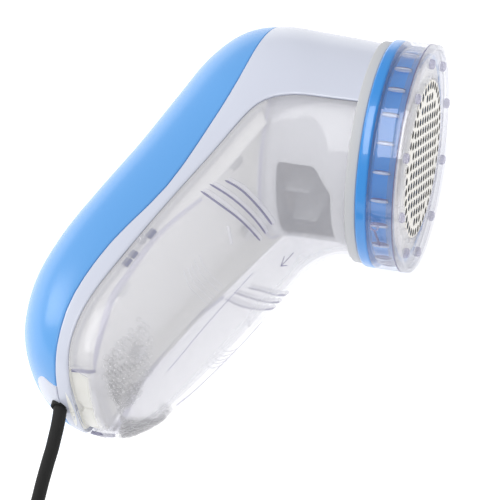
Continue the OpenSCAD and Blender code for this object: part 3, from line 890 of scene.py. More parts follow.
@dataclass
class Skin:
    """Outer skin of barrel and handle.

    A station holds the belly point, the spine point, the half width and the roundness n. At
    angle a from the spine, a point lies signed cos(a)^(2/n) of the way from the middle of the
    chord towards the spine, and signed sin(a)^(2/n) half widths to the side.
    """

    stations: np.ndarray = field(default_factory=lambda: np.array([
        [-16, -34, -16, 34, 34, 2], [-18, -34, -24, 34.8, 34, 2],
        [-20.5, -34.6, -38, 35.8, 34, 2], [-23, -36, -52, 36, 34, 2.05],
        [-25.5, -38.5, -65, 31.5, 33.5, 2.1], [-28, -42, -74.5, 19.5, 32.5, 2.15],
        [-30.5, -48, -81.5, 1.5, 31, 2.2], [-35, -57, -88.5, -18, 30, 2.25],
        [-40, -68, -96, -36.5, 29.3, 2.3], [-46, -80, -102.5, -54, 28.7, 2.3],
        [-52, -91, -106, -71, 27.8, 2.3], [-58, -99.8, -105, -86, 26.2, 2.3],
        [-64.5, -105.5, -101, -96.5, 23, 2.3], [-71, -108.5, -95.5, -103, 17.8, 2.3],
        [-77, -109.5, -89, -107.5, 10.5, 2.2], [-82.8, -109.3, -83, -109.2, 0, 2]], float))

    @property
    def last(self) -> int:
        """Number of the last station."""
        return len(self.stations) - 1

    def point(self, t: np.ndarray, a: np.ndarray) -> np.ndarray:
        """Points of the skin at stations t and angles a."""
        t, a = np.broadcast_arrays(np.asarray(t, float), np.asarray(a, float))
        s = along(self.stations, np.clip(t, 0, self.last))
        power = 2 / s[..., 5]
        side = signed_power(np.cos(a), power)
        x = (s[..., 0] + s[..., 2] + (s[..., 2] - s[..., 0]) * side) / 2
        y = (s[..., 1] + s[..., 3] + (s[..., 3] - s[..., 1]) * side) / 2
        return np.stack([x, y, np.maximum(s[..., 4], 0) * signed_power(np.sin(a), power)], -1)

    def outward(self, t: np.ndarray, a: np.ndarray) -> np.ndarray:
        """Unit normals: the change along the skin crossed with the change round it."""
        t = np.clip(np.asarray(t, float), 0.05, self.last - 0.08)
        n = np.cross(self.point(t + 0.04, a) - self.point(t - 0.04, a),
                     self.point(t, a + 0.06) - self.point(t, a - 0.06))
        return n / np.maximum(np.linalg.norm(n, axis=-1, keepdims=True), 1e-9)

    def lifted(self, t: np.ndarray, a: np.ndarray, height: float) -> np.ndarray:
        """Points at a height over the skin, in mm; under it where the height is negative."""
        return self.point(t, a) + height * self.outward(t, a)

    def crossing(self, t: np.ndarray, line: np.ndarray) -> np.ndarray:
        """Angle at which the skin at each t meets a line in side view.

        The chord from belly to spine is sampled; where its side of the line changes, the
        fraction is read by linear interpolation and turned into an angle.

        Args:
            t: Stations.
            line: Points of the line, running down the shaver with the spine on its right.

        Returns:
            The angles: 0 where the chord lies wholly on the belly side, pi where it lies wholly
            on the spine side.
        """
        s = along(self.stations, t)
        q = np.linspace(-1, 1, CHORD_SAMPLES)[None, :, None]
        belly, spine = s[:, None, 0:2], s[:, None, 2:4]
        sides = side_of(((belly + spine) + (spine - belly) * q) / 2, line)
        change = (sides[:, :-1] <= 0) & (sides[:, 1:] > 0)
        k = change.argmax(1)
        rows = np.arange(len(t))
        low, high = sides[rows, k], sides[rows, k + 1]
        f = np.where(change.any(1), k + low / np.where(low == high, 1, low - high), 0)
        fraction = np.clip(-1 + 2 * f / (CHORD_SAMPLES - 1), -1, 1)
        middle = sides[:, CHORD_SAMPLES // 2]
        fraction = np.where(change.any(1), fraction, np.where(middle > 0, -1, 1))
        return np.arccos(np.clip(signed_power(fraction, s[:, 5] / 2), -1, 1))


def side_of(points: np.ndarray, line: np.ndarray) -> np.ndarray:
    """Signed distance of points from a line in side view, positive on the spine's side.

    Args:
        points: Points in the plane.
        line: The line's points, in order down the shaver.

    Returns:
        Distance to the nearest part of the line, with the sign of the side that it is on.
    """
    a, b = line[:-1], line[1:]
    way = b - a
    rel = points[..., None, :] - a
    f = np.clip((rel * way).sum(-1) / (way**2).sum(-1), 0, 1)
    gap = rel - f[..., None] * way
    distance = np.linalg.norm(gap, axis=-1)
    cross = way[:, 0] * rel[..., 1] - way[:, 1] * rel[..., 0]
    k = distance.argmin(-1)[..., None]
    return (np.take_along_axis(distance, k, -1) * -np.sign(np.take_along_axis(cross, k, -1)))[..., 0]


@dataclass
class Shells:
    """The moulded shells: blue back cover, white housing and clear lint container."""

    skin: Skin = field(default_factory=Skin)
    wall: float = 2.0
    edge_r: float = 0.55
    seam: float = 0.12
    cover_line: list = field(default_factory=lambda: [
        [-51, 42], [-52, 30], [-53.5, 16], [-56, -2], [-60.5, -19], [-68, -43], [-79.5, -65],
        [-86, -84], [-87.5, -100], [-87.5, -114]])
    container_line: list = field(default_factory=lambda: [
        [-10, -5.5], [-26, -5.5], [-37, -6], [-45.5, -9], [-51, -16], [-58.5, -32], [-66.8, -50],
        [-74.5, -68.5], [-80.5, -84], [-83, -96], [-83.2, -104], [-82, -114]])
    rim_line: list = field(default_factory=lambda: [
        [-10, -10], [-26, -10], [-36, -10.5], [-42, -13.5], [-46, -21], [-53, -36], [-61.5, -53],
        [-69, -70.5], [-74.8, -85], [-77, -96], [-77, -104], [-76.3, -114]])
    gap_half: float = 19.0

    def strip(self, t: np.ndarray, start: np.ndarray, end: np.ndarray, count: int,
              edge_start: np.ndarray | float = 1.0, edge_end: np.ndarray | float = 1.0,
              depth: float = 0.0) -> np.ndarray:
        """Grid of skin points between two angles, its long edges rounded over.

        Columns stand 0, 0.1, 0.25 ... mm from each edge and then evenly. At distance e inside
        an edge of radius r the surface drops by r(1 - sqrt(1 - (1 - e/r)^2)).

        Args:
            t: Station of each row.
            start: Angle of the first edge in each row.
            end: Angle of the last edge in each row.
            count: Even columns between the edges.
            edge_start: How much of the rounding the first edge gets, 0 to 1.
            edge_end: The same for the last edge.
            depth: Depth of the whole strip under the skin.

        Returns:
            Rows by columns by 3, in mm.
        """
        near = np.array([0, 0.08, 0.2, 0.38, 0.6, 1.0])
        span = (end - start)[:, None]
        middle = (start + end)[:, None] / 2
        size = np.linalg.norm(self.skin.point(t[:, None], start[:, None] + span * 0.02)
                              - self.skin.point(t[:, None], start[:, None]), axis=-1) / 0.02
        size = np.maximum(np.maximum(size, np.linalg.norm(
            self.skin.point(t[:, None], middle) - self.skin.point(t[:, None], start[:, None]),
            axis=-1) * 1.6), 1e-3)
        share = np.minimum(near[None] / size, 0.3 * near[None])
        even = np.linspace(0, 1, count + 2)[1:-1][None]
        inner = share[:, -1:] + even * (1 - 2 * share[:, -1:])
        w = np.concatenate([share, inner, 1 - share[:, ::-1]], 1)
        drop = (self.rounding(w * size) * np.reshape(edge_start, (-1, 1))
                + self.rounding((1 - w) * size) * np.reshape(edge_end, (-1, 1)))
        a = start[:, None] + span * w
        rows = t[:, None]
        return self.skin.point(rows, a) - (drop + depth)[..., None] * self.skin.outward(rows, a)

    def rounding(self, distance: np.ndarray) -> np.ndarray:
        """Drop of a rounded edge at each distance inside it, in mm."""
        share = np.minimum(distance, self.edge_r) / self.edge_r
        return self.edge_r * (1 - np.sqrt(np.clip(1 - (1 - share) ** 2, 0, 1)))

    def meets(self, t: np.ndarray, line: list) -> np.ndarray:
        """Angle at which the skin at each station meets a smooth line through knots."""
        return self.skin.crossing(t, smooth_line(line, LINE_STEPS))

    def stations(self, low: float, high: float, count: int) -> np.ndarray:
        """Stations from low to high, closer together towards both ends (a cosine spacing)."""
        f = np.linspace(0, 1, count)
        eased = 0.5 - 0.5 * np.cos(np.pi * f)
        return low + (high - low) * (0.5 * f + 0.5 * eased)

    def cover_span(self) -> tuple[float, float]:
        """First and last station at which the back cover is met."""
        t = np.linspace(0, self.skin.last, 1501)
        there = t[self.meets(t, self.cover_line) > 1e-3]
        return float(there.min()), float(there.max())

    def back_cover(self) -> None:
        """Blue cover: the skin on the spine's side of its seam."""
        low, high = self.cover_span()
        f = np.linspace(0, 1, 200)
        t = low + (high - low) * (0.5 - 0.5 * np.cos(np.pi * f))
        a = np.maximum(self.meets(t, self.cover_line) - 0.003, 1e-4)
        grid = self.strip(t, -a, a, 60)
        outline = rounded_loop([[-11.2, -6.7], [11.2, -6.7], [11.2, 6.7], [-11.2, 6.7]], 2.5, 6)
        loops = [np.c_[outline[:, 0], np.full(len(outline), y), outline[:, 1]]
                 for y in (-6.0, 6.0)]
        hole = capped(grid_form(np.stack(loops), loop_columns=True), 2, len(outline))
        piece = make_piece("cover_shell", grid_form(grid), "housing", SKY_BLUE, 40,
                           away=(-70, -30, 0), wall=self.wall, cut=Switch().place(hole))
        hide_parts("back_cover")

    def housing(self) -> None:
        """White housing: the band between the two seams on both sides, joined over the barrel."""
        low, high = self.cover_span()
        t = np.unique(np.concatenate([
            self.stations(0, self.skin.last, 230), low + np.linspace(-0.1, 0.3, 30),
            high + np.linspace(-0.3, 0.1, 30)]))
        start = self.meets(t, self.cover_line)
        end = self.meets(t, self.container_line)
        start = np.minimum(start, end - 1e-4)
        free = np.clip(start / 0.06, 0, 1)
        grid = self.strip(t, start, end, 30, edge_start=free)
        right = grid_form(grid)
        piece = make_piece("housing_shell", right.plus(right.mirrored()), "housing", HOUSING, 40,
                           away=(-60, -30, 0), wall=self.wall)
        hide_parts("main_housing")
        self.partition()
        self.ledge()
        self.boss()

    def boss(self) -> None:
        """Raised patch of the housing where the cord leaves through the cover's tip.

        Its edges stand where the skin is 4.8 and 10.5 mm from the middle, drawn in at the top
        as an ellipse.
        """
        t = np.linspace(12.92, 14.7, 60)
        s = along(self.skin.stations, t)
        share = np.sqrt(np.clip(1 - np.clip(1 - (t - 12.9) / 0.4, 0, 1) ** 2.4, 0.002, 1))
        low, high = (np.arcsin(np.clip(v * share / s[:, 4], 0, 0.97) ** (s[:, 5] / 2))
                     for v in (4.8, 10.5))
        high = np.minimum(high, self.meets(t, self.cover_line) + 0.01)
        grid = self.strip(t, -low, high, 30, depth=-0.25)
        make_piece("cord_boss", grid_form(grid), "housing", HOUSING, 40, away=(-70, -30, 0),
                   wall=0.9)

    def partition(self) -> None:
        """Floor of the lint space: a sheet along the container's seam, bulged over the motor.

        Across the width, z runs to just inside the skin. Near the motor the sheet is pushed
        out of a cylinder about the head's axis.
        """
        t = np.linspace(2.2, self.skin.last - 0.15, 150)
        a = self.meets(t, self.container_line)
        edge = self.skin.point(t, a)
        w = np.linspace(-1, 1, 81)
        x = np.broadcast_to(edge[:, :1], (150, 81))
        y = np.broadcast_to(edge[:, 1:2], (150, 81))
        z = np.maximum(edge[:, 2:3] - 2.4, 0.01) * w
        points = np.stack([x - 0.4, y, z], -1)
        r = np.hypot(points[..., 1], points[..., 2])
        push = np.where((points[..., 0] < -44) & (points[..., 0] > -60),
                        np.clip(16.2 - r, 0, 16), 0)
        points[..., 1] -= push
        keep = points[:, 40, 0] < -44.5
        # painted light: the lint floor takes the glowing grey finish
        piece = make_piece("lint_floor", grid_form(points[keep]), "housing", FLOOR_GREY_PAINTED_GLOW, 40,
                           away=(-110, 0, 0), wall=1.4)

    def ledge(self) -> None:
        """Step that the container's rim lies on, a container wall's depth under the skin."""
        t = np.linspace(4.6, self.skin.last - 0.35, 190)
        start = self.meets(t, self.container_line)
        end = self.meets(t, self.rim_line)
        start = np.minimum(start - 0.03, end - 0.02)
        grid = self.strip(t, start, end, 16, 0.0, 1.0, depth=self.wall + 0.45)
        right = grid_form(grid)
        # painted light: the ledge takes the glowing grey finish
        make_piece("rim_ledge", right.plus(right.mirrored()), "housing", FLOOR_GREY_PAINTED_GLOW, 40, away=(-95, -40, 0),
                   wall=1.6)

    def container(self) -> None:
        """Clear container: the skin on the belly's side of its seam, open for a fingertip.

        Past the station where the seam comes within the finger gap's half width, the edge
        steps in to the rim line.
        """
        probe = np.linspace(11, self.skin.last, 400)
        reach = self.skin.point(probe, self.meets(probe, self.container_line))[:, 2]
        step = float(probe[reach < self.gap_half][0])
        end = float(probe[self.meets(probe, self.rim_line) < np.pi - 0.02][-1])
        t = np.unique(np.concatenate([
            np.linspace(0.03, step - 0.05, 200), step + np.linspace(-0.05, 0.06, 12),
            np.linspace(step + 0.06, end, 44)]))
        seam = self.meets(t, self.container_line) + self.seam / 30
        rim = self.meets(t, self.rim_line)
        share = np.clip((t - step) / 0.012, 0, 1)
        start = seam * (1 - share) + rim * share
        fixed = np.minimum(np.maximum(rim + 0.10, start + 0.02), np.pi - 1e-4)
        top = self.strip(t, start, fixed, 10, 1.0, 0.0)
        w = np.linspace(0, 1, 45)[None, 1:]
        a = fixed[:, None] + (np.pi - fixed[:, None]) * w
        low = self.skin.point(t[:, None], a)
        side = np.concatenate([top, low], 1)
        grid = np.concatenate([side, side[:, -2::-1] * [1, 1, -1]], 1)
        piece = make_piece("container_shell", grid_form(grid), "container", CLEAR, 40,
                           away=(-60, -50, 0), wall=self.wall)
        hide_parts("lint_container")


@dataclass
class ContainerMarks:
    """Raised work on the container: grip ridges, fine arcs, an arrow, the snap and gap ribs."""

    skin: Skin = field(default_factory=Skin)

    def locate(self, xy: np.ndarray) -> np.ndarray:
        """Station and angle of points given in side view.

        A fine grid of the near half of the skin is searched for the nearest point.

        Args:
            xy: Points in side view.

        Returns:
            Station and angle of each.
        """
        t = np.linspace(0.2, self.skin.last - 0.1, 420)
        a = np.linspace(0.05, np.pi - 0.002, 300)
        grid = self.skin.point(t[:, None], a[None])[..., :2].reshape(-1, 2)
        k = np.linalg.norm(grid[None] - np.asarray(xy, float)[:, None], axis=-1).argmin(1)
        return np.stack([t[k // 300], a[k % 300]], -1)

    def stroke(self, knots: list, radius: float, proud: float = 0.0, blunt: float = 0.12,
               samples: int = 28) -> Form:
        """A raised line on the skin through points in side view.

        The knots are turned into stations and angles, joined by a smooth line, and a tube is
        laid along it whose radius falls to nothing at both ends as a quarter ellipse.

        Args:
            knots: Points in side view.
            radius: Radius of the tube in mm.
            proud: Height of its centre line over the skin.
            blunt: Share of the length over which each end tapers.
            samples: Points along the line.

        Returns:
            The raised line.
        """
        return self.line(self.locate(np.array(knots, float)), radius, proud, blunt, samples)

    def line(self, places: np.ndarray, radius: float, proud: float = 0.0, blunt: float = 0.12,
             samples: int = 28) -> Form:
        """A raised line like stroke's, through stations and angles."""
        line = along(places, np.linspace(0, len(places) - 1, samples))
        path = self.skin.lifted(line[:, 0], line[:, 1], proud)
        f = np.linspace(0, 1, samples)
        near = np.clip(np.minimum(f, 1 - f) / blunt, 0, 1)
        return tube(path, radius * np.sqrt(1 - (1 - near) ** 2) + 0.03, 10)

    def both(self, forms: list[Form]) -> Form:
        """Forms and their mirror images on the other flank."""
        near = joined(forms)
        return near.plus(near.mirrored())

    def pebbles(self) -> Form:
        """Low domes over the thumb patch at the tip.

        They stand on a triangular grid of stations and angles, each moved a little at random,
        wherever that grid lies inside the patch.
        """
        corners = np.array([[10.1, 2.09], [10.2, 2.3], [10.9, 2.64], [11.6, 2.85], [12.7, 3.14],
                            [12.75, 2.7], [12.4, 2.28], [11.9, 2.04]])
        i, j = np.meshgrid(np.arange(20), np.arange(20), indexing="ij")
        places = np.stack([10 + 0.165 * i, 2.0 + 0.066 * (j + 0.5 * (i % 2))], -1).reshape(-1, 2)
        places = places + np.random.default_rng(5).uniform(-0.018, 0.018, places.shape)
        places = places[inside(places, corners)]
        centre = self.skin.lifted(places[:, 0], places[:, 1], -0.42)
        dome = grid_form(ball(9, 12), loop_columns=True)
        size = np.random.default_rng(6).uniform(0.7, 1.15, len(centre))
        return joined([dome.mapped(np.eye(3) * r, tuple(c)) for r, c in zip(size, centre)])

    def lip(self) -> Form:
        """Thick inner lip of the container, just inside its rim."""
        places = np.array([[7.2, 1.76], [7.8, 1.70], [8.5, 1.67], [9.3, 1.69], [10, 1.70],
                           [10.6, 1.76], [11.3, 1.84], [12, 1.95], [12.4, 2.03]])
        line = along(places, np.linspace(0, len(places) - 1, 70))
        path = self.skin.lifted(line[:, 0], line[:, 1], -2.6)
        return tube(path, 0.3 + 0.8 * np.sin(np.linspace(0.3, 2.9, 70)), 12)

    def gap_edges(self) -> Form:
        """Thick cut edges at both ends of the finger gap, from the seam in to the rim."""
        places = np.array([[12.92, 1.63], [12.8, 1.78], [12.6, 1.97], [12.36, 2.06]])
        line = along(places, np.linspace(0, 3, 24))
        path = self.skin.lifted(line[:, 0], line[:, 1], -0.8)
        return tube(path, 0.55, 10)

    def snap(self) -> None:
        """Snap on each flank: a clear ball in the rim's channel, between two dark slots."""
        spot = self.skin.point(np.array([8.67]), np.array([1.61]))[0]
        out = self.skin.outward(np.array([8.67]), np.array([1.61]))[0]
        pip = grid_form(1.5 * ball(13, 24) + spot - 0.5 * out, loop_columns=True)
        make_piece("snap_pips", self.both([pip]), "container", GLASSY)
        slots = []
        for low, high in ((8.33, 8.52), (8.9, 9.05), (9.1, 9.27)):
            t = np.linspace(low, high, 6)
            path = self.skin.lifted(t, np.full(6, 1.615), -2.05)
            slots.append(tube(path, 1.15, 12, 0.5))
        slot = make_piece("snap_slots", self.both(slots), "housing", NAVY)

    def build(self) -> None:
        """Makes all the marks."""
        ridges = [
            self.stroke([[-50.3, -37.3], [-44.8, -39], [-39.2, -41.9], [-35.1, -44.4]], 0.75),
            self.stroke([[-54.7, -39.9], [-46, -42.8], [-40, -45.5], [-36.5, -47.7]], 0.75),
            self.stroke([[-56.4, -42.5], [-49.7, -45.4], [-42.9, -47.9], [-37.6, -50.3]], 0.75)]
        make_piece("grip_ridges", self.both(ridges), "container", CLEAR)
        # painted shadow: a thin dark line beside each grip ridge, offset towards its lower edge
        under = [
            self.stroke([[-51.1, -38], [-45.6, -39.8], [-39.9, -42.7], [-35.6, -45.1]], 0.3),
            self.stroke([[-55.5, -40.6], [-46.8, -43.6], [-40.7, -46.3], [-37, -48.4]], 0.3),
            self.stroke([[-57.2, -43.2], [-50.5, -46.2], [-43.6, -48.7], [-38.1, -51]], 0.3)]
        make_piece("ridge_painted_shadows", self.both(under), "container", DARK_EDGE)
        fine = [self.stroke([[-53 - 0.8 * k, -63.5 - 1.5 * k], [-49.9 - 0.8 * k, -67 - 1.6 * k],
                             [-45 - 0.8 * k, -68.5 - 1.6 * k]], 0.16, -0.04) for k in range(5)]
        fine.append(self.stroke([[-47.1, -51.8], [-45.1, -56.3]], 0.5, -0.1))
        make_piece("fine_arcs", self.both(fine), "container", CLEAR)
        tip = [6.45, 2.95]
        arrow = [self.line(np.array([tail, tip]), 0.11)
                 for tail in ([5.75, 2.95], [6.2, 2.885], [6.2, 3.015])]
        make_piece("open_arrow", joined(arrow), "container", DARK_EDGE)
        crease = self.stroke([[-38.5, -58.9], [-44.4, -71.5], [-50.5, -84.5], [-56.5, -96]], 0.12,
                             -0.05)
        make_piece("belly_crease", self.both([crease]), "container", VIOLET)
        make_piece("thumb_pebbles", self.both([self.pebbles()]), "container", PEBBLE)
        make_piece("rim_lip", self.both([self.lip()]), "container", VIOLET)
        make_piece("gap_edges", self.both([self.gap_edges()]), "container", DARK_EDGE)
        ribs = [block((-76.0, -108.3 + 0.011 * z * z, z - 0.5),
                      (-72.4, -104.3 + 0.011 * z * z, z + 0.5), 0.3) for z in range(-16, 17, 4)]
        make_piece("gap_ribs", joined(ribs), "container", GLASSY)
        self.snap()
        phi = np.radians(np.linspace(8, 86, 40))
        arc = np.stack([np.full(40, -44.6), -31.2 * np.cos(phi), 31.2 * np.sin(phi)], -1)
        make_piece("chamber_rib", self.both([tube(arc, 0.5, 10)]), "container", VIOLET)


# ------------------------------------------------------------------ head


@dataclass
class Head:
    """Fan chamber and shaving head, all turned about the X axis."""

    chamber_r: float = 30.0
    foil_r: float = 31.35
    foil_x: float = -2.6
    pitch: float = 3.75

    def chamber(self) -> None:
        """Fan chamber: a sheet with the window cut out, wrapped round the axis."""
        r = self.chamber_r
        half = math.pi * r
        x = np.linspace(-44, -16, 15)
        s = np.linspace(-half, half, 181)
        outline = np.concatenate([np.c_[x[:-1], np.full(14, -half)], np.c_[np.full(180, -16), s[:-1]],
                                  np.c_[x[:0:-1], np.full(14, half)],
                                  np.c_[np.full(180, -44), s[:0:-1]]])
        z = rounded_loop([[-40, -20], [-22.5, -20], [-22.5, 13], [-28, 20], [-40, 20]], 1.6, 5)
        f = np.linspace(0, 1, 6, endpoint=False)[None, :, None]
        dense = (z[:, None] * (1 - f) + np.roll(z, -1, 0)[:, None] * f).reshape(-1, 2)
        window = np.c_[dense[:, 0], r * np.arcsin(dense[:, 1] / r)]
        gx, gs = np.meshgrid(x[1:-1], s[1:-1], indexing="ij")
        fill = np.c_[gx.ravel(), gs.ravel()]
        fill = fill[~inside(fill, window)]
        flat, faces = pierced_sheet(outline, [window], fill)
        angle = flat[:, 1] / r
        points = np.stack([flat[:, 0], -r * np.cos(angle), r * np.sin(angle)], -1)
        # painted shade: the wall's inner side gets the dark lining
        piece = make_piece("fan_chamber", Form(points, faces.tolist()), "housing", CHAMBER, 40,
                           away=(-30, 0, 0), wall=1.5, lining=CHAMBER_PAINTED_SHADE)
        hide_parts("chamber_wall")

    def collar(self) -> None:
        """Light grey collar that carries the foil ring."""
        flange = turned([[-16, 28.2], [-16, 34.1], [-16.9, 34.1], [-16.9, 35], [-13.6, 35],
                         [-13.6, 30.2], [-8.4, 30.2],
                         [-8.4, 28.2]], 0.4, 192)
        lug = block((-9.6, -2.5, 29.2), (-8.4, 2.5, 31.2), 0.2).around(3)
        piece = make_piece("head_collar_ring", flange.plus(lug), "housing", COLLAR)
        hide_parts("head_collar")

    def foil_ring(self) -> None:
        """Blue ring: flange, drum and the ledge under the foil."""
        body = turned([[-13.5, 30.3], [-13.5, 35.4], [-13, 36], [-10.4, 36], [-10, 35.6],
                       [-10, 33], [-2, 33], [-2, 31.6], [-2.6, 31.6], [-2.6, 28.5], [-4, 28.5],
                       [-4, 30.3]], 0.35, 192)
        piece = make_piece("foil_cap_ring", body, "foil_cap", RING_BLUE)
        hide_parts("foil_ring")

    def foil(self) -> None:
        """Perforated foil: round holes on a triangular pitch, inside a circle of closer ones.

        Rows stand pitch times 0.866 apart, every other one shifted by half a pitch, and the
        whole pattern is turned about the axis. The pierced middle stands 1.9 mm proud of the
        rim, over a smoothstep, and is dished a little.
        """
        i, j = np.meshgrid(np.arange(-7, 8), np.arange(-8, 9), indexing="ij")
        grid = np.stack([self.pitch * (i + 0.5 * (j % 2)), self.pitch * 0.866 * j], -1)
        grid = grid.reshape(-1, 2) @ turn_z(-14.5)[:2, :2]
        small = grid[np.hypot(grid[:, 0], grid[:, 1]) < 20.4]
        rim_angle = np.arange(40) * 2 * np.pi / 40
        rim = np.stack([np.cos(rim_angle), np.sin(rim_angle)], -1) * 23.3
        holes = [circle(1.32, tuple(c), 16) for c in small]
        holes += [circle(1.3, tuple(c), 16) for c in rim]
        fill = np.concatenate([circle(r, sides=96) for r in (24.75, 25.0, 25.3, 25.6, 25.9, 28.5)])
        flat, faces = pierced_sheet(circle(self.foil_r, sides=120), holes, fill)
        r = np.hypot(flat[:, 0], flat[:, 1])
        step = np.clip((25.9 - r) / 1.1, 0, 1)
        x = self.foil_x + 0.3 + 1.9 * step**2 * (3 - 2 * step) + 0.3 * (1 - (r / self.foil_r) ** 2)
        points = np.stack([x, flat[:, 0], flat[:, 1]], -1)
        piece = make_piece("foil_disc", Form(points, faces.tolist()), "foil_cap", FOIL, 40,
                           away=(-200, 0, 0), wall=0.22)
        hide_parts("shaving_foil")

    def height_ring(self) -> None:
        """Clear height ring with its inner ribs."""
        wall = turned([[-9.9, 33.1], [-9.9, 36], [-1.7, 36], [-1.7, 34.6], [-8.9, 34.6],
                       [-8.9, 33.1]], 0.3, 192)
        rib = block((-8.95, -0.5, 33.35), (-3.4, 0.5, 34.9), 0.22).around(24)
        foot = block((-8.9, 0.5, 33.4), (-3.4, 0.75, 34.8), 0.1).around(24)
        piece = make_piece("height_ring_clear", wall, "ring", GLASSY)
        make_piece("height_ring_ribs", rib, "ring", RIB)
        make_piece("height_rib_edges", foot, "ring", DARK_EDGE)
        pip = turned([[-0.3, 0.9], [-0.3, 1.5], [0.35, 1.4], [0.35, 0.9]], 0.15, 32)
        tail = tube(np.array([[0, -1.4, 0], [-0.25, -4, 0.7], [-0.9, -7.8, 1.4]]), 0.35, 10)
        make_piece("ring_pip", self.on_ring(pip), "ring", VIOLET)
        make_piece("ring_stop", self.on_ring(tail), "ring", DARK_EDGE)
        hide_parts("height_ring")

    def on_ring(self, form: Form) -> Form:
        """Stands a form drawn about X on the height ring's wall, RING_MARK degrees round."""
        stood = form.mapped(np.array([[0, 0, 1], [0, 1, 0], [1, 0, 0]]), (-7.2, 0, 35.9))
        return stood.mapped(turn_x(RING_MARK))

    def guard(self) -> None:
        """Clear guard: a flat ring with a scalloped inner edge, its skirt and raised pips.

        The inner radius is 25.4 mm, and grows by the height of a circle of radius 1.7 mm at
        each of 16 scallops.
        """
        outline = rounded_loop([[-1.6, 0.0], [-1.6, 1.0], [-0.35, 1.0], [0.0, 0.97], [0.0, 0.0]],
                               0.12, 3)
        angle = np.linspace(0, 2 * np.pi, 768, endpoint=False)
        away = np.abs((angle * 16 / (2 * np.pi) + 0.5) % 1 - 0.5) * 2 * np.pi * 25.4 / 16
        inner = 25.4 + np.sqrt(np.clip(1.7**2 - away**2, 0, None))
        r = inner[:, None] + outline[:, 1] * (36 - inner[:, None])
        x = np.broadcast_to(outline[:, 0], r.shape)
        c, s = np.cos(angle)[:, None], np.sin(angle)[:, None]
        face = grid_form(np.stack([x, r * c, r * s], -1), True, True)
        skirt = turned([[-4, 33.3], [-4, 34.5], [-1.5, 34.5], [-1.5, 33.3]], 0.2, 192)
        dome = turned([[-0.4, 0.01], [-0.4, 1.6], [0.75, 1.55], [1.2, 1.1], [1.3, 0.01]], 0.3, 24)
        pips = dome.mapped(np.eye(3), (0, 31, 0)).around(10, 18)
        bead = turned([[-1.6, 34.3], [-1.6, 36], [0.5, 35.9], [0.7, 35.4], [0.7, 34.6],
                       [0.3, 34.3]], 0.3, 192)
        piece = make_piece("guard_clear", face.plus(skirt, bead), "guard", GLASSY)
        make_piece("guard_pips", pips, "guard", VIOLET)
        line = turned([[-1.9, 35.5], [-1.9, 36.05], [-1.62, 36.05], [-1.62, 35.5]], 0.05, 192)
        make_piece("guard_line", line, "guard", DARK_EDGE)
        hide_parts("spacer_guard")

    def fan(self) -> None:
        """Fan: backplate, hub and eight vanes that curve back as they go out.

        At share f of its length a vane stands 9 mm times f squared to one side.
        """
        plate = turned([[-39, 1.2], [-39, 23], [-38, 23], [-38, 5.6], [-24, 5], [-24, 1.2]], 0.4, 96)
        f = np.linspace(0, 1, 20)[:, None]
        h = np.linspace(0, 1, 6)[None]
        z = 4.8 + 18 * f + 0 * h
        y = -7.5 * f**2 + 0 * h
        x = -38.3 + h * (11.0 - 3.5 * f**3)
        front = np.stack([x, y - 0.55, z], -1)
        back = np.stack([x, y + 0.55, z], -1)
        loop = np.concatenate([front, back[:, ::-1]], 1)
        vane = capped(grid_form(loop, loop_columns=True), 20, 12)
        piece = make_piece("fan_vanes", vane.around(8, 10), "rotor", FAN)
        # painted shade: the backplate and hub take the dark copy of the fan plastic
        back_piece = make_piece("fan_backplate", plate, "rotor", FAN_PLATE_PAINTED_SHADE)
        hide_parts("fan_impeller")

    def build(self) -> None:
        """Makes every piece of the head."""
        self.chamber()
        self.collar()
        self.foil_ring()
        self.foil()
        self.height_ring()
        self.guard()
        self.fan()


# ------------------------------------------------------------------ switch and works


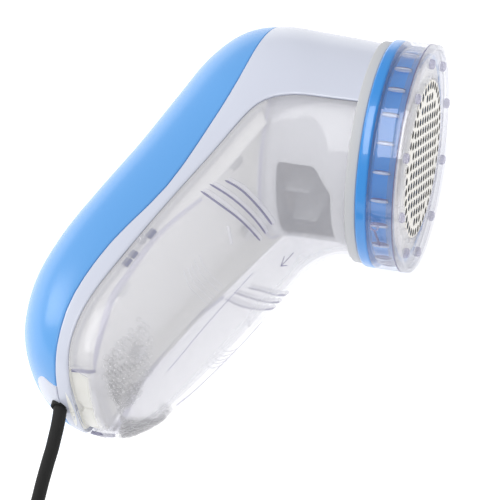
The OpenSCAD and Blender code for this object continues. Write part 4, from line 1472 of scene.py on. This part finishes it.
@dataclass
class Switch:
    """Slide switch in the back: an oval bezel and a ribbed knob."""

    at: tuple = (-92.2, -27.2, 0.0)
    turn: float = -112.0

    def place(self, form: Form) -> Form:
        """Puts a form of the switch's own frame into the drawn frame."""
        return form.mapped(turn_z(self.turn), self.at)

    def build(self) -> None:
        """Makes bezel and knob."""
        outer = rounded_loop([[-11, -6.5], [11, -6.5], [11, 6.5], [-11, 6.5]], 2.4, 6)
        inner = rounded_loop([[-9, -5], [9, -5], [9, 5], [-9, 5]], 1.6, 6)
        loops = [np.c_[p[:, 0], np.full(len(p), y), p[:, 1]] for p, y in
                 ((outer, 3.1), (outer, 0.8), (outer * 0.97, 0.5), (inner * 1.02, 0.5),
                  (inner, 0.8), (inner, 2.0), (inner * 0.3, 2.0), (inner * 0.3, 3.1))]
        frame_form = grid_form(np.stack(loops, 1), loop_rows=True, loop_columns=True)
        bezel = make_piece("switch_surround", self.place(frame_form), "housing", SKY_BLUE)
        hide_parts("switch_bezel")
        base = block((-8.2, 0.6, -4.6), (3.8, 1.6, 4.6), 0.3)
        ribs = [block((x, 0.05, -4.0), (x + 0.9, 0.9, 4.0), 0.25) for x in np.arange(-7, 3.1, 2)]
        stem = block((-4.2, 1.5, -1.5), (-0.2, 3.2, 1.5), 0.2)
        knob = make_piece("switch_slider", self.place(base.plus(stem, *ribs)), "switch", HOUSING)
        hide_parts("switch_knob")


@dataclass
class Works:
    """The frame's own inner parts, which keep their shape and get their finishes."""

    # painted shade: blade_carrier takes the near-black copy of the carrier plastic
    finishes: dict = field(default_factory=lambda: {
        "blade_carrier": CARRIER_PAINTED_SHADE, "blades": STEEL, "blade_spring": SPRING, "drive_hub": ACETAL,
        "motor_plate": CHAMBER, "motor_screws": ZINC, "motor_can": ZINC, "motor_end_cap": BLACK,
        "motor_magnets": MAGNET, "front_bush": BRONZE, "rear_bush": BRONZE, "motor_shaft": STEEL,
        "armature": COPPER, "commutator": COPPER, "motor_brushes": CARBON, "circuit_board": BOARD,
        "rectifier_diodes": BLACK, "smoothing_capacitor": NAVY, "dropper_resistor": TAN,
        "fuse": ACETAL, "motor_leads": RED_LEAD, "mains_leads": RED_LEAD, "switch_leads": RUBBER,
        "switch_body": BLACK, "cover_screws": ZINC, "cord_clamp": ACETAL, "clamp_screws": ZINC})

    def build(self) -> None:
        """Dresses every carried-over node."""
        for name, finish in self.finishes.items():
            node = frame["nodes"].get(name)
            if node is not None:
                dress(node, finish)


def main() -> None:
    """Builds the studio, the cord and then the shaver."""
    logging.basicConfig(level=logging.INFO, format="%(name)s: %(message)s")
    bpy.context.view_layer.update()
    Studio().build()
    MainsCord().build()
    shells = Shells()
    shells.back_cover()
    shells.housing()
    shells.container()
    ContainerMarks().build()
    Head().build()
    Switch().build()
    Works().build()


if __name__ == "__main__":
    main()
